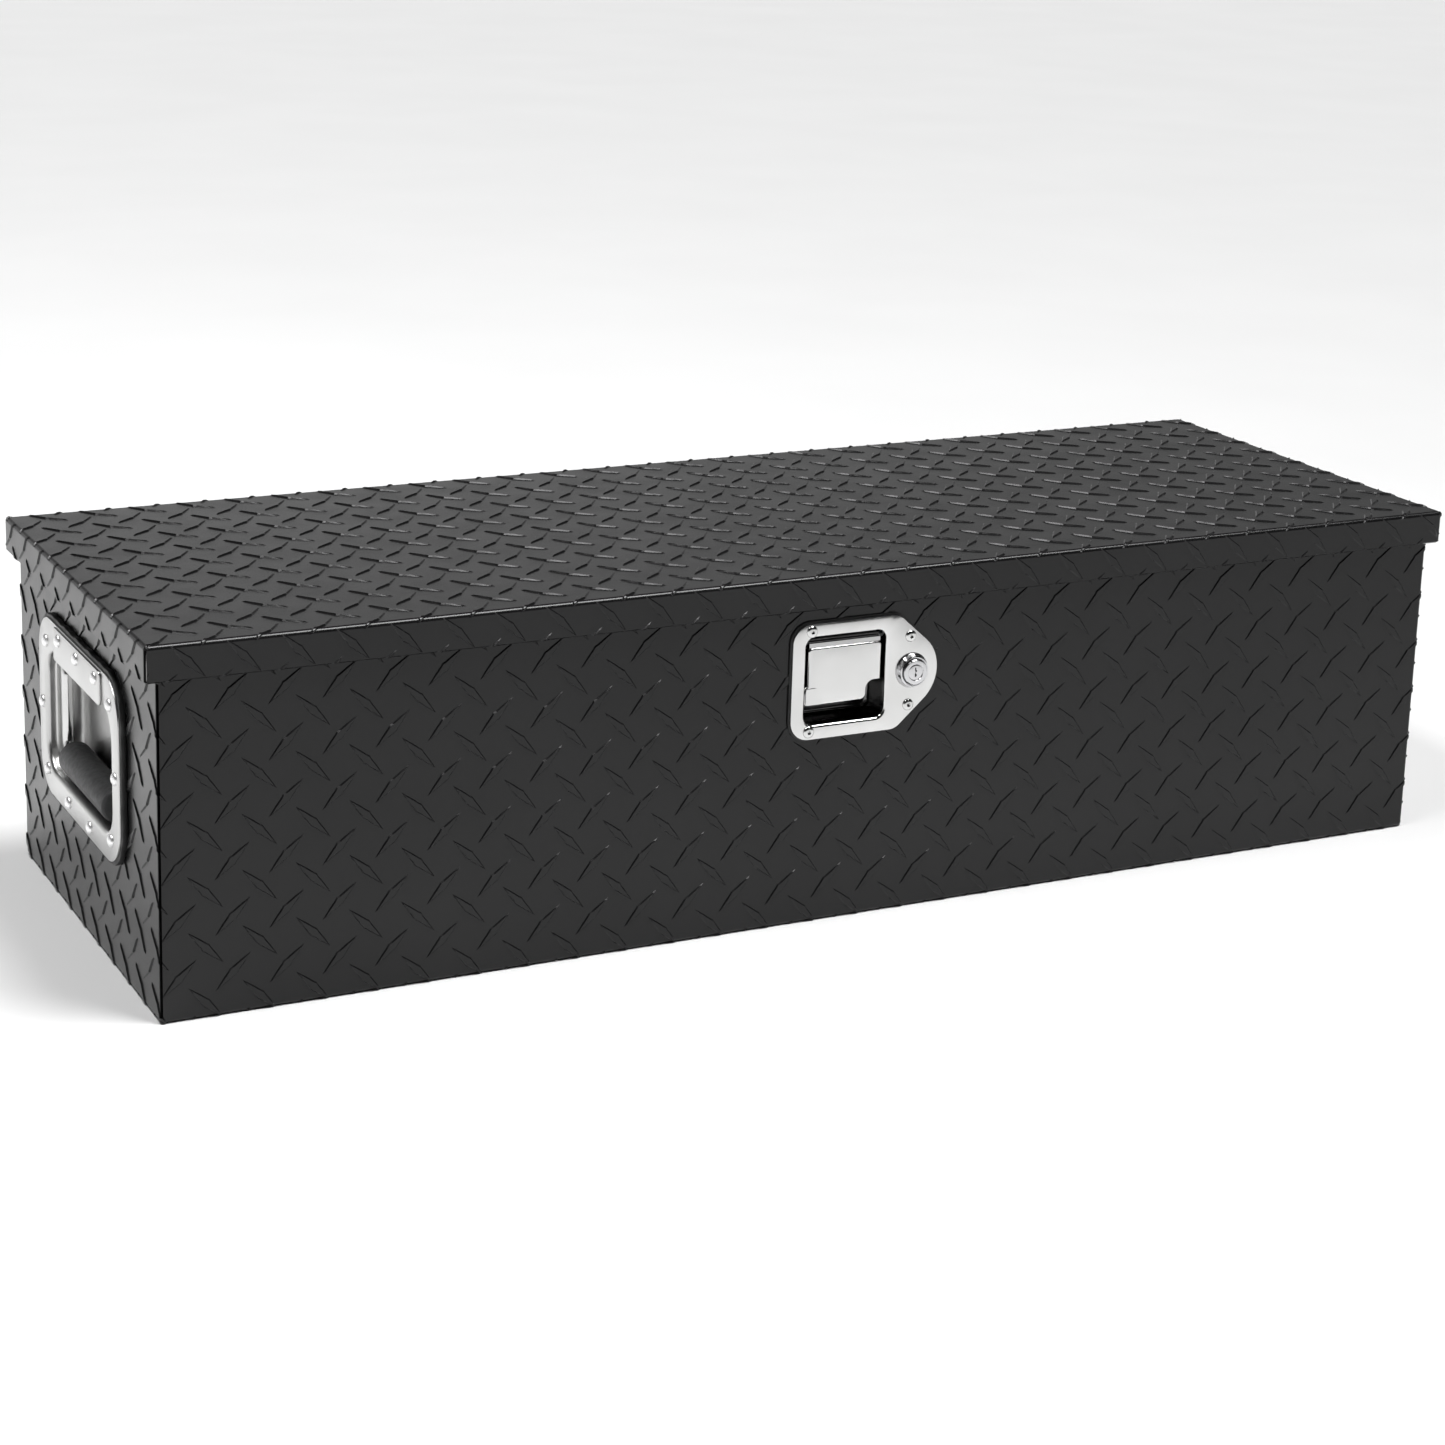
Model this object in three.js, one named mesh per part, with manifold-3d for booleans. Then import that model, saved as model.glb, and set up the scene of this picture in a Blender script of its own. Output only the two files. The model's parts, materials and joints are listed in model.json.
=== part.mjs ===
// Truck tool box: a low chest of black tread plate with a hinged lid, a lockable paddle latch and
// a recessed carrying handle in each end. Millimetres, +Z up, the front faces -Y, and the origin is
// the middle of the base.
import * as THREE from "three";
import { mergeVertices } from "three/addons/utils/BufferGeometryUtils.js";
import Module from "manifold-3d";

const wasm = await Module();
wasm.setup();

// Driving dimensions of the box.
const LID_LENGTH = 990;
const LID_DEPTH = 340;
const HEIGHT = 248;
const SKIRT = 24;
const END_OVERHANG = 8.5;
const FRONT_OVERHANG = 4.8;
const SHEET = 1.6;
const BEND = 3;
const RIM = 20;
const RIM_LIP = 8;
const RIM_DROP = 12;
const GAP = 0.3;

// Faces that follow from them.
const HALF_LENGTH = LID_LENGTH / 2 - END_OVERHANG;
const HALF_DEPTH = LID_DEPTH / 2 - FRONT_OVERHANG;
const SKIRT_Z = HEIGHT - SKIRT;
const RIM_Z = SKIRT_Z + RIM_DROP;
const LID_INNER_Z = HEIGHT - SHEET;
const FRONT_Y = -HALF_DEPTH;

// Piano hinge along the back, just under the rear skirt.
const BARREL_R = 3.25;
const PIN_R = 1.5;
const PIN_HOLE_R = 2;
const LEAF = 1.4;
const LEAF_DROP = 28;
const KNUCKLES = 18;
const HINGE_LENGTH = 940;
const HINGE_Y = HALF_DEPTH + GAP + BARREL_R;
const HINGE_Z = SKIRT_Z - BARREL_R - 0.35;

// Paddle latch: a D-shaped plate with a pressed pan, the paddle, the lock and the hook behind it.
const LATCH_X = 7;
const LATCH_Z = 174;
const PLATE_HALF_WIDTH = 56.5;
const PLATE_HALF_HEIGHT = 41;
const TIP_RADIUS = 29;
const TIP_TANGENT = THREE.MathUtils.degToRad(48.5);
const PLATE = 1.5;
const GASKET = 1.2;
const PAN_X = LATCH_X - 16;
const PAN_HALF = 31;
const PAN_CORNER = 7;
const PAN_DEPTH = 24;
const PAN_WALL = 1.2;
const LOCK_X = LATCH_X + 36.3;
const LATCH_GASKET_Y = FRONT_Y - GAP - GASKET;
const LATCH_FACE_Y = LATCH_GASKET_Y - GAP - PLATE;
const PAN_BACK_Y = LATCH_FACE_Y + PAN_DEPTH;
const LATCH_RIVETS = [
  [-42.5, 35.4],
  [-42.5, -35.4],
  [34.5, 24.5],
  [34.5, -24.5],
];

// Paddle pivot, hook pivot and striker bar, each a line along X.
const PADDLE_Y = -160.5;
const PADDLE_Z = 200;
const PADDLE_HALF = 29.5;
const PADDLE_TOP = 27.5;
const PADDLE_CORNER = 4.5;
const PADDLE_BOTTOM = -17.5;
const ARM_OFFSET = 9;
const ARM_REACH = 41;
const ARM_DROP = 10;
const HOOK_Y = -130;
const HOOK_Z = 166;
const STRIKER_Y = -134;
const STRIKER_Z = 203;
const STRIKER_R = 3;

// Recessed folding handle, the same unit in both ends.
const HANDLE_Z = 139;
const HANDLE_HALF_WIDTH = 96;
const HANDLE_HALF_HEIGHT = 62.5;
const HANDLE_CORNER = 28;
const HANDLE_GASKET = 1.9;
const HANDLE_PLATE = 1.3;
const DISH_HALF_WIDTH = 79;
const DISH_LOW = -45;
const DISH_HIGH = 40;
const DISH_CORNER = 20;
const DISH_DEPTH = 23.4;
const BAIL_R = 4;
const BAIL_HALF = 70;
const BAIL_PIVOT_Z = 166;
const BAIL_DROP = 59.8;
const BAIL_INSET = 7;
const GRIP_R = 11.7;
const GRIP_HALF = 54;
const HANDLE_RIVETS = [
  [-77, 44.5],
  [-77, -46.5],
  [77, 44.5],
  [77, -46.5],
  [-88, -1.5],
  [88, -1.5],
  [-26, -55],
  [26, -55],
];
const STOP_RIVETS = [-49, -4.5, 39.5];
const STOP_RIVET_Z = 54.5;

// Gas struts: a stud on the tub, a stud on the lid, both relative to the hinge line.
const STRUT_X = 443;
const STRUT_TUB = [HINGE_Y - 60, HINGE_Z - 40];
const STRUT_LID = [HINGE_Y - 200, HINGE_Z + 8];
const STRUT_LENGTH = Math.hypot(STRUT_LID[0] - STRUT_TUB[0], STRUT_LID[1] - STRUT_TUB[1]);
const STRUT_ANGLE = Math.atan2(STRUT_LID[1] - STRUT_TUB[1], STRUT_LID[0] - STRUT_TUB[0]);
const STRUT_TUBE_R = 7.5;
const STRUT_ROD_R = 3.6;
const STRUT_EYE_R = 8;
const STRUT_EYE = 10;
const STUD_R = 4;

// Finishes.
const finish = (color, roughness, metalness) => () =>
  new THREE.MeshStandardMaterial({ color, roughness, metalness });
const blackPaint = finish(0x2b2b2c, 0.45, 0.3);
const stainless = finish(0xc8c9ca, 0.2, 1);
const zincSteel = finish(0x9a9b9c, 0.4, 1);
const blackRubber = finish(0x17171a, 0.85, 0);
const foamRubber = finish(0x101012, 0.95, 0);
const strutPaint = finish(0x1a1a1c, 0.35, 0.2);
const chromed = finish(0xd8d9da, 0.1, 1);

// A closed geometry as a solid that can be joined and cut.
function solid(geometry) {
  const bare = geometry.index ? geometry.toNonIndexed() : geometry.clone();
  bare.deleteAttribute("normal");
  bare.deleteAttribute("uv");
  const merged = mergeVertices(bare);
  const mesh = new wasm.Mesh({
    numProp: 3,
    vertProperties: merged.attributes.position.array,
    triVerts: new Uint32Array(merged.index.array),
  });
  return new wasm.Manifold(mesh);
}

const join = (first, ...rest) => rest.reduce((made, next) => made.add(next), first);
const cut = (first, ...rest) => rest.reduce((made, next) => made.subtract(next), first);

function geometryOf(made) {
  const mesh = made.getMesh();
  const geometry = new THREE.BufferGeometry();
  geometry.setAttribute("position", new THREE.BufferAttribute(new Float32Array(mesh.vertProperties), 3));
  geometry.setIndex(new THREE.BufferAttribute(new Uint32Array(mesh.triVerts), 1));
  geometry.computeVertexNormals();
  return geometry;
}

function part(name, made, material) {
  const mesh = new THREE.Mesh(geometryOf(made), material());
  mesh.name = name;
  return mesh;
}

// A block between two corners.
function block(x0, x1, y0, y1, z0, z1) {
  const geometry = new THREE.BoxGeometry(x1 - x0, y1 - y0, z1 - z0);
  geometry.translate((x0 + x1) / 2, (y0 + y1) / 2, (z0 + z1) / 2);
  return solid(geometry);
}

const extruded = (shape, depth, curveSegments) =>
  new THREE.ExtrudeGeometry(shape, { depth, bevelEnabled: false, curveSegments });

// An outline in X and Z, given thickness along Y from its front face backwards.
function frontPlate(shape, front, thickness, curveSegments = 5) {
  const geometry = extruded(shape, thickness, curveSegments);
  geometry.rotateX(Math.PI / 2);
  geometry.translate(0, front + thickness, 0);
  return solid(geometry);
}

// An outline in Y and Z, given thickness along X from x0 upwards.
function sidePlate(shape, x0, thickness, curveSegments = 5) {
  const turn = new THREE.Matrix4().makeBasis(
    new THREE.Vector3(0, 1, 0),
    new THREE.Vector3(0, 0, 1),
    new THREE.Vector3(1, 0, 0),
  );
  const geometry = extruded(shape, thickness, curveSegments);
  geometry.applyMatrix4(turn);
  geometry.translate(x0, 0, 0);
  return solid(geometry);
}

// An outline in X and Y, given thickness upwards from z0.
function flatPlate(shape, z0, thickness, curveSegments = 5) {
  const geometry = extruded(shape, thickness, curveSegments);
  geometry.translate(0, 0, z0);
  return solid(geometry);
}

function rodX(radius, x0, x1, y, z, sides = 12) {
  const geometry = new THREE.CylinderGeometry(radius, radius, x1 - x0, sides);
  geometry.rotateZ(Math.PI / 2);
  geometry.translate((x0 + x1) / 2, y, z);
  return solid(geometry);
}

function rodY(radius, y0, y1, x, z, sides = 12) {
  const geometry = new THREE.CylinderGeometry(radius, radius, y1 - y0, sides);
  geometry.translate(x, (y0 + y1) / 2, z);
  return solid(geometry);
}

// A turned solid about Y: pairs of radius and height, from the low end to the high end.
function turned(profile, sides) {
  const points = profile.map(([radius, height]) => new THREE.Vector2(radius, height));
  return new THREE.LatheGeometry(points, sides);
}

function roundedRectangle(left, right, low, high, radius) {
  const shape = new THREE.Shape();
  shape.moveTo(left + radius, low);
  shape.lineTo(right - radius, low);
  shape.absarc(right - radius, low + radius, radius, -Math.PI / 2, 0);
  shape.lineTo(right, high - radius);
  shape.absarc(right - radius, high - radius, radius, 0, Math.PI / 2);
  shape.lineTo(left + radius, high);
  shape.absarc(left + radius, high - radius, radius, Math.PI / 2, Math.PI);
  shape.lineTo(left, low + radius);
  shape.absarc(left + radius, low + radius, radius, Math.PI, Math.PI * 1.5);
  return shape;
}

function polygon(points) {
  return new THREE.Shape(points.map(([u, v]) => new THREE.Vector2(u, v)));
}

// ---- Tub ----

// Section of the folded shell: front wall, floor and back wall, with a turned-in rim and its lip.
function shellSection() {
  const inner = HALF_DEPTH - SHEET;
  const rim = HALF_DEPTH - RIM;
  const lip = RIM_Z - RIM_LIP;
  const inside = BEND - SHEET;
  const shape = new THREE.Shape();
  shape.moveTo(-HALF_DEPTH, RIM_Z);
  shape.lineTo(-HALF_DEPTH, BEND);
  shape.absarc(-HALF_DEPTH + BEND, BEND, BEND, Math.PI, Math.PI * 1.5);
  shape.lineTo(HALF_DEPTH - BEND, 0);
  shape.absarc(HALF_DEPTH - BEND, BEND, BEND, -Math.PI / 2, 0);
  shape.lineTo(HALF_DEPTH, RIM_Z);
  shape.lineTo(rim, RIM_Z);
  shape.lineTo(rim, lip);
  shape.lineTo(rim + SHEET, lip);
  shape.lineTo(rim + SHEET, RIM_Z - SHEET);
  shape.lineTo(inner, RIM_Z - SHEET);
  shape.lineTo(inner, BEND);
  shape.absarc(inner - inside, BEND, inside, 0, -Math.PI / 2, true);
  shape.lineTo(-inner + inside, SHEET);
  shape.absarc(-inner + inside, BEND, inside, -Math.PI / 2, -Math.PI, true);
  shape.lineTo(-inner, RIM_Z - SHEET);
  shape.lineTo(-rim - SHEET, RIM_Z - SHEET);
  shape.lineTo(-rim - SHEET, lip);
  shape.lineTo(-rim, lip);
  shape.lineTo(-rim, RIM_Z);
  return shape;
}

// The hole in the front wall clears the pan, the lock and the rivet shanks.
function latchHole() {
  const clear = PAN_HALF + PAN_WALL + 1;
  const from = FRONT_Y - 2;
  const through = SHEET + 4;
  const opening = roundedRectangle(
    PAN_X - clear, PAN_X + clear, LATCH_Z - clear, LATCH_Z + clear, PAN_CORNER + 1,
  );
  const holes = [frontPlate(opening, from, through, 3), rodY(11.4, from, from + through, LOCK_X, LATCH_Z, 16)];
  for (const [x, z] of LATCH_RIVETS) {
    holes.push(rodY(2.9, from, from + through, LATCH_X + x, LATCH_Z + z, 7));
  }
  return join(...holes);
}

function bodyShell() {
  const end = HALF_LENGTH - SHEET - GAP;
  const shell = sidePlate(shellSection(), -end, 2 * end, 3);
  return cut(shell, latchHole());
}

// An end wall at negative X, with its turned-in rim and the cut-out for the handle dish.
function endPanel() {
  const x0 = -HALF_LENGTH;
  const rimEnd = HALF_DEPTH - RIM - GAP;
  const outline = new THREE.Shape();
  outline.moveTo(-HALF_DEPTH, RIM_Z);
  outline.lineTo(-HALF_DEPTH, BEND);
  outline.absarc(-HALF_DEPTH + BEND, BEND, BEND, Math.PI, Math.PI * 1.5);
  outline.lineTo(HALF_DEPTH - BEND, 0);
  outline.absarc(HALF_DEPTH - BEND, BEND, BEND, -Math.PI / 2, 0);
  outline.lineTo(HALF_DEPTH, RIM_Z);
  const wall = sidePlate(outline, x0, SHEET, 3);
  const rim = block(x0 + SHEET / 2, x0 + RIM, -rimEnd, rimEnd, RIM_Z - SHEET, RIM_Z);
  const lip = block(x0 + RIM - SHEET, x0 + RIM, -rimEnd, rimEnd, RIM_Z - RIM_LIP, RIM_Z);
  return cut(join(wall, rim, lip), dishClearance(x0 - 2, SHEET + 4, 2.2), ...shankHoles(x0 - 2, SHEET + 4));
}

// Sponge seal that lies on the rim all round, under the lid.
function weatherSeal() {
  const outerX = HALF_LENGTH - 6;
  const outerY = HALF_DEPTH - 6;
  const width = 10;
  const ring = roundedRectangle(-outerX, outerX, -outerY, outerY, 8);
  ring.holes.push(roundedRectangle(-outerX + width, outerX - width, -outerY + width, outerY - width, 4));
  return flatPlate(ring, RIM_Z + GAP, LID_INNER_Z - RIM_Z - 2 * GAP, 3);
}

// ---- Lid ----

function lidShell() {
  const halfX = LID_LENGTH / 2;
  const halfY = LID_DEPTH / 2;
  const frontBack = (half) => {
    const shape = new THREE.Shape();
    shape.moveTo(-half, SKIRT_Z);
    shape.lineTo(half, SKIRT_Z);
    shape.lineTo(half, HEIGHT - BEND);
    shape.absarc(half - BEND, HEIGHT - BEND, BEND, 0, Math.PI / 2);
    shape.lineTo(-half + BEND, HEIGHT);
    shape.absarc(-half + BEND, HEIGHT - BEND, BEND, Math.PI / 2, Math.PI);
    return shape;
  };
  const along = sidePlate(frontBack(halfY), -halfX, LID_LENGTH, 3);
  const across = frontPlate(frontBack(halfX), -halfY, LID_DEPTH, 3);
  const inside = block(
    -halfX + SHEET, halfX - SHEET, -halfY + SHEET, halfY - SHEET, SKIRT_Z - 5, LID_INNER_Z,
  );
  return cut(along.intersect(across), inside);
}

// Hat-section stiffener across the underside of the lid.
function lidStiffener(x) {
  const top = LID_INNER_Z - GAP;
  const depth = 9;
  const wall = 1.2;
  const foot = 28;
  const web = 16;
  const crown = 13;
  const section = polygon([
    [x - foot, top - wall],
    [x - web + wall, top - wall],
    [x - crown, top - depth],
    [x + crown, top - depth],
    [x + web - wall, top - wall],
    [x + foot, top - wall],
    [x + foot, top],
    [x + web - wall, top],
    [x + crown - wall, top - depth + wall],
    [x - crown + wall, top - depth + wall],
    [x - web + wall, top],
    [x - foot, top],
  ]);
  const reach = HALF_DEPTH - RIM - 5;
  return frontPlate(section, -reach, 2 * reach);
}

// ---- Hinge ----

// Every second knuckle belongs to the same leaf.
function knuckleSpans(first) {
  const pitch = HINGE_LENGTH / KNUCKLES;
  const spans = [];
  for (let i = first; i < KNUCKLES; i += 2) {
    const start = -HINGE_LENGTH / 2 + i * pitch;
    spans.push([start + 0.25, start + pitch - 0.25]);
  }
  return spans;
}

function hingeLeaf(first, y0, low, high, tabLow, tabHigh) {
  const half = HINGE_LENGTH / 2;
  const pieces = [block(-half, half, y0, y0 + LEAF, low, high)];
  for (const [x0, x1] of knuckleSpans(first)) {
    pieces.push(rodX(BARREL_R, x0, x1, HINGE_Y, HINGE_Z, 10));
    pieces.push(block(x0, x1, y0, y0 + LEAF, tabLow, tabHigh));
  }
  return cut(join(...pieces), rodX(PIN_HOLE_R, -half - 1, half + 1, HINGE_Y, HINGE_Z, 8));
}

function bodyLeaf() {
  const top = HINGE_Z - BARREL_R - 0.5;
  return hingeLeaf(0, HALF_DEPTH + GAP, HINGE_Z - LEAF_DROP, top, top - 1, HINGE_Z);
}

function lidLeaf() {
  const low = HINGE_Z + BARREL_R + 0.5;
  const y0 = LID_DEPTH / 2 - SHEET - GAP - LEAF;
  return hingeLeaf(1, y0, low, LID_INNER_Z - GAP, HINGE_Z + PIN_HOLE_R, low + 1);
}

function hingePin() {
  const half = HINGE_LENGTH / 2;
  return rodX(PIN_R, -half - 1.5, half + 1.5, HINGE_Y, HINGE_Z, 8);
}

// ---- Latch ----

// D-shaped outline: straight left side, slanted right corners and a round tip.
function latchOutline(grow) {
  const left = LATCH_X - PLATE_HALF_WIDTH - grow;
  const high = LATCH_Z + PLATE_HALF_HEIGHT + grow;
  const low = LATCH_Z - PLATE_HALF_HEIGHT - grow;
  const tip = TIP_RADIUS + grow;
  const tipX = LATCH_X + PLATE_HALF_WIDTH - TIP_RADIUS;
  const corner = 14 + grow;
  const slant = 12 + grow;
  // The slanted side touches the tip's arc, and an arc of radius slant blends it into the edge.
  const reach = tip - slant;
  const rise = high - slant - LATCH_Z;
  const shift = (reach - rise * Math.sin(TIP_TANGENT)) / Math.cos(TIP_TANGENT);
  const slantX = tipX + shift;
  const shape = new THREE.Shape();
  shape.moveTo(left + corner, low);
  shape.lineTo(slantX, low);
  shape.absarc(slantX, low + slant, slant, -Math.PI / 2, -TIP_TANGENT);
  shape.absarc(tipX, LATCH_Z, tip, -TIP_TANGENT, TIP_TANGENT);
  shape.absarc(slantX, high - slant, slant, TIP_TANGENT, Math.PI / 2);
  shape.lineTo(left + corner, high);
  shape.absarc(left + corner, high - corner, corner, Math.PI / 2, Math.PI);
  shape.lineTo(left, low + corner);
  shape.absarc(left + corner, low + corner, corner, Math.PI, Math.PI * 1.5);
  return shape;
}

function panOutline(half) {
  return roundedRectangle(PAN_X - half, PAN_X + half, LATCH_Z - half, LATCH_Z + half, PAN_CORNER);
}

function latchRivetHoles(front, through) {
  const made = LATCH_RIVETS.map(([x, z]) =>
    rodY(2.9, front - 1, front + through, LATCH_X + x, LATCH_Z + z, 7));
  made.push(rodY(11.4, front - 1, front + through, LOCK_X, LATCH_Z, 16));
  return made;
}

function latchFaceplate() {
  const plate = frontPlate(latchOutline(0), LATCH_FACE_Y, PLATE, 6);
  const pan = frontPlate(panOutline(PAN_HALF + PAN_WALL), LATCH_FACE_Y, PAN_DEPTH + PAN_WALL, 3);
  const hollow = frontPlate(panOutline(PAN_HALF), LATCH_FACE_Y - 1, PAN_DEPTH + 1, 3);
  const slots = [-1, 1].map((side) => {
    const x = PAN_X + side * ARM_OFFSET;
    return block(x - 2.5, x + 2.5, PAN_BACK_Y - 1, PAN_BACK_Y + 3, PADDLE_Z - 17, PADDLE_Z + 2);
  });
  const pivot = rodX(2.2, PAN_X - PAN_HALF - 4, PAN_X + PAN_HALF + 4, PADDLE_Y, PADDLE_Z, 8);
  return cut(join(plate, pan), hollow, ...slots, pivot, ...latchRivetHoles(LATCH_FACE_Y, PLATE + 1));
}

function latchGasket() {
  const sheet = frontPlate(latchOutline(1.2), LATCH_GASKET_Y, GASKET, 5);
  const opening = frontPlate(panOutline(PAN_HALF + PAN_WALL + GAP), LATCH_GASKET_Y - 1, GASKET + 2, 3);
  return cut(sheet, opening, ...latchRivetHoles(LATCH_GASKET_Y, GASKET + 1));
}

// Blind rivet: low domed head with the hollow of its stem, shank, and the bulb behind the wall.
function latchRivet(x, z) {
  const head = LATCH_FACE_Y - GAP;
  const bulb = FRONT_Y + SHEET + GAP;
  const geometry = turned(
    [
      [0, head + 3],
      [1.3, head + 3],
      [1.3, head - 1.3],
      [2.4, head - 1.4],
      [4.2, head],
      [2.4, head],
      [2.4, bulb],
      [3.4, bulb],
      [3, bulb + 4],
      [0, bulb + 4.4],
    ],
    8,
  );
  geometry.translate(LATCH_X + x, 0, LATCH_Z + z);
  return solid(geometry);
}

// Paddle: face with its finger cut-out, a turned-in lip, the pivot tube and two arms to the rear.
function paddle() {
  const x = PAN_X;
  const z = LATCH_Z;
  const face = new THREE.Shape();
  face.moveTo(x - PADDLE_HALF - 0.7, z + PADDLE_BOTTOM);
  face.lineTo(x + 14, z + PADDLE_BOTTOM);
  face.absarc(x + 14, z + PADDLE_BOTTOM + 4, 4, -Math.PI / 2, 0);
  face.lineTo(x + 18, z - 10);
  face.absarc(x + 24, z - 10, 6, Math.PI, Math.PI / 2, true);
  face.lineTo(x + PADDLE_HALF, z - 4);
  const round = PADDLE_CORNER;
  face.lineTo(x + PADDLE_HALF, z + PADDLE_TOP - round);
  face.absarc(x + PADDLE_HALF - round, z + PADDLE_TOP - round, round, 0, Math.PI / 2);
  face.lineTo(x - PADDLE_HALF + round, z + PADDLE_TOP);
  face.absarc(x - PADDLE_HALF + round, z + PADDLE_TOP - round, round, Math.PI / 2, Math.PI);
  face.lineTo(x - PADDLE_HALF, z - 4);
  face.lineTo(x - PADDLE_HALF - 0.7, z - 5);
  const front = LATCH_FACE_Y + 2;
  const skin = frontPlate(face, front, 2, 3);
  const lip = block(
    x - PADDLE_HALF, x + 14, front + 1, front + 8, z + PADDLE_BOTTOM, z + PADDLE_BOTTOM + 1.6,
  );
  const half = PADDLE_HALF - 2;
  const tube = rodX(3.6, x - half, x + half, PADDLE_Y, PADDLE_Z, 12);
  const web = block(x - half, x + half, front + 1, PADDLE_Y, PADDLE_Z - 3, PADDLE_Z + 0.5);
  const arms = [-1, 1].map((side) => sidePlate(armOutline(), x + side * ARM_OFFSET - 1.25, 2.5, 4));
  const bore = rodX(2.2, x - PADDLE_HALF - 1, x + PADDLE_HALF + 1, PADDLE_Y, PADDLE_Z, 8);
  return cut(join(skin, lip, tube, web, ...arms), bore);
}

function armOutline() {
  const tipY = PADDLE_Y + ARM_REACH;
  const tipZ = PADDLE_Z - ARM_DROP;
  const shape = new THREE.Shape();
  shape.moveTo(PADDLE_Y, PADDLE_Z - 3.4);
  shape.lineTo(tipY, tipZ - 3);
  shape.absarc(tipY, tipZ, 3, -Math.PI / 2, Math.PI / 2);
  shape.lineTo(PADDLE_Y, PADDLE_Z + 3);
  return shape;
}

// Pressed bracket behind the pan that carries the hook's pin between two ears.
function latchBracket() {
  const y0 = PAN_BACK_Y + PAN_WALL + GAP;
  const low = HOOK_Z - 9;
  const high = HOOK_Z + 12;
  const base = block(PAN_X - 20, PAN_X + 20, y0, y0 + 1.5, low, high);
  const ears = [-1, 1].map((side) => {
    const x = PAN_X + side * 15;
    return block(x - 1, x + 1, y0, HOOK_Y + 8, low, high);
  });
  return cut(join(base, ...ears), rodX(2.8, PAN_X - 20, PAN_X + 20, HOOK_Y, HOOK_Z, 10));
}

// Hook: hub on the pin, an upright whose nose closes over the striker bar, and two tails.
function latchHook() {
  const upright = sidePlate(hookOutline(), PAN_X - 3, 6);
  const hub = rodX(6, PAN_X - 10.5, PAN_X + 10.5, HOOK_Y, HOOK_Z, 12);
  const tails = [-1, 1].map((side) => sidePlate(tailOutline(), PAN_X + side * ARM_OFFSET - 1.5, 3, 3));
  const bore = rodX(2.9, PAN_X - 12, PAN_X + 12, HOOK_Y, HOOK_Z, 10);
  return cut(join(upright, hub, ...tails), bore);
}

function hookOutline() {
  const under = STRIKER_Z + STRIKER_R + 0.6;
  const top = under + 6;
  const nose = HOOK_Y - 9.5;
  return polygon([
    [HOOK_Y, HOOK_Z - 4],
    [HOOK_Y + 6, HOOK_Z],
    [HOOK_Y + 6, top],
    [HOOK_Y - 3, top],
    [nose, under + 2.5],
    [nose, under],
    [HOOK_Y, under],
  ]);
}

function tailOutline() {
  const angle = THREE.MathUtils.degToRad(53);
  const along = new THREE.Vector2(Math.cos(angle), Math.sin(angle));
  const across = new THREE.Vector2(-along.y, along.x);
  const corner = (reach, side) => {
    const point = new THREE.Vector2(HOOK_Y, HOOK_Z);
    point.addScaledVector(along, reach);
    point.addScaledVector(across, side);
    return point;
  };
  return new THREE.Shape([corner(0, -3), corner(30, -3), corner(30, 3), corner(0, 3)]);
}

// Torsion spring beside the hook's hub, as one closed ring of its outer size.
function hookSpring() {
  const x0 = PAN_X + 11;
  const x1 = x0 + 2.7;
  return cut(rodX(5, x0, x1, HOOK_Y, HOOK_Z, 12), rodX(3.4, x0 - 1, x1 + 1, HOOK_Y, HOOK_Z, 8));
}

// Striker: a foot on the lid, two legs and the bar that the hook holds.
function striker() {
  const top = LID_INNER_Z - GAP;
  const legX = 12;
  const foot = block(PAN_X - 26, PAN_X + 26, STRIKER_Y - 4, STRIKER_Y + 16, top - 2, top);
  const legs = [-1, 1].map((side) => {
    const x = PAN_X + side * legX;
    return block(x - 1.5, x + 1.5, STRIKER_Y - 4, STRIKER_Y + 4, STRIKER_Z - 3.5, top - 1);
  });
  const bar = rodX(STRIKER_R, PAN_X - legX, PAN_X + legX, STRIKER_Y, STRIKER_Z, 10);
  return join(foot, ...legs, bar);
}

// Lock barrel: bevelled cup on the plate, a body through the wall and a bore for the plug.
function lockBarrel() {
  const cup = LATCH_FACE_Y - GAP;
  const geometry = turned(
    [
      [7.3, cup - 1.5],
      [9.3, cup - 1.5],
      [9.3, cup - 4.2],
      [10.6, cup - 4.2],
      [12.4, cup],
      [10.9, cup],
      [10.9, -140],
      [7.3, -140],
      [7.3, cup - 1.5],
    ],
    16,
  );
  geometry.translate(LOCK_X, 0, LATCH_Z);
  return solid(geometry);
}

function lockNut() {
  const y0 = FRONT_Y + SHEET + GAP;
  return cut(rodY(15, y0, y0 + 5, LOCK_X, LATCH_Z, 6), rodY(11.4, y0 - 1, y0 + 6, LOCK_X, LATCH_Z, 16));
}

function lockPlug() {
  const cup = LATCH_FACE_Y - GAP;
  const front = cup - 6;
  const geometry = turned(
    [
      [0, front],
      [8, front],
      [8.8, front + 0.8],
      [8.8, cup - 1.9],
      [6.9, cup - 1.9],
      [6.9, -138],
      [0, -138],
    ],
    16,
  );
  geometry.translate(LOCK_X, 0, LATCH_Z);
  const keyway = block(LOCK_X - 0.9, LOCK_X + 0.9, front - 1, front + 4, LATCH_Z - 4.2, LATCH_Z + 4.2);
  return cut(solid(geometry), keyway);
}

// Cam on the rear end of the plug, hanging down when the lock is open.
function lockCam() {
  const y0 = -138 + GAP;
  const shape = roundedRectangle(LOCK_X - 6, LOCK_X + 6, LATCH_Z - 24, LATCH_Z + 6, 4);
  return frontPlate(shape, y0, 2.5, 3);
}

// ---- Handles, built at negative X; the unit in the other end is the same one turned round ----

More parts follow.
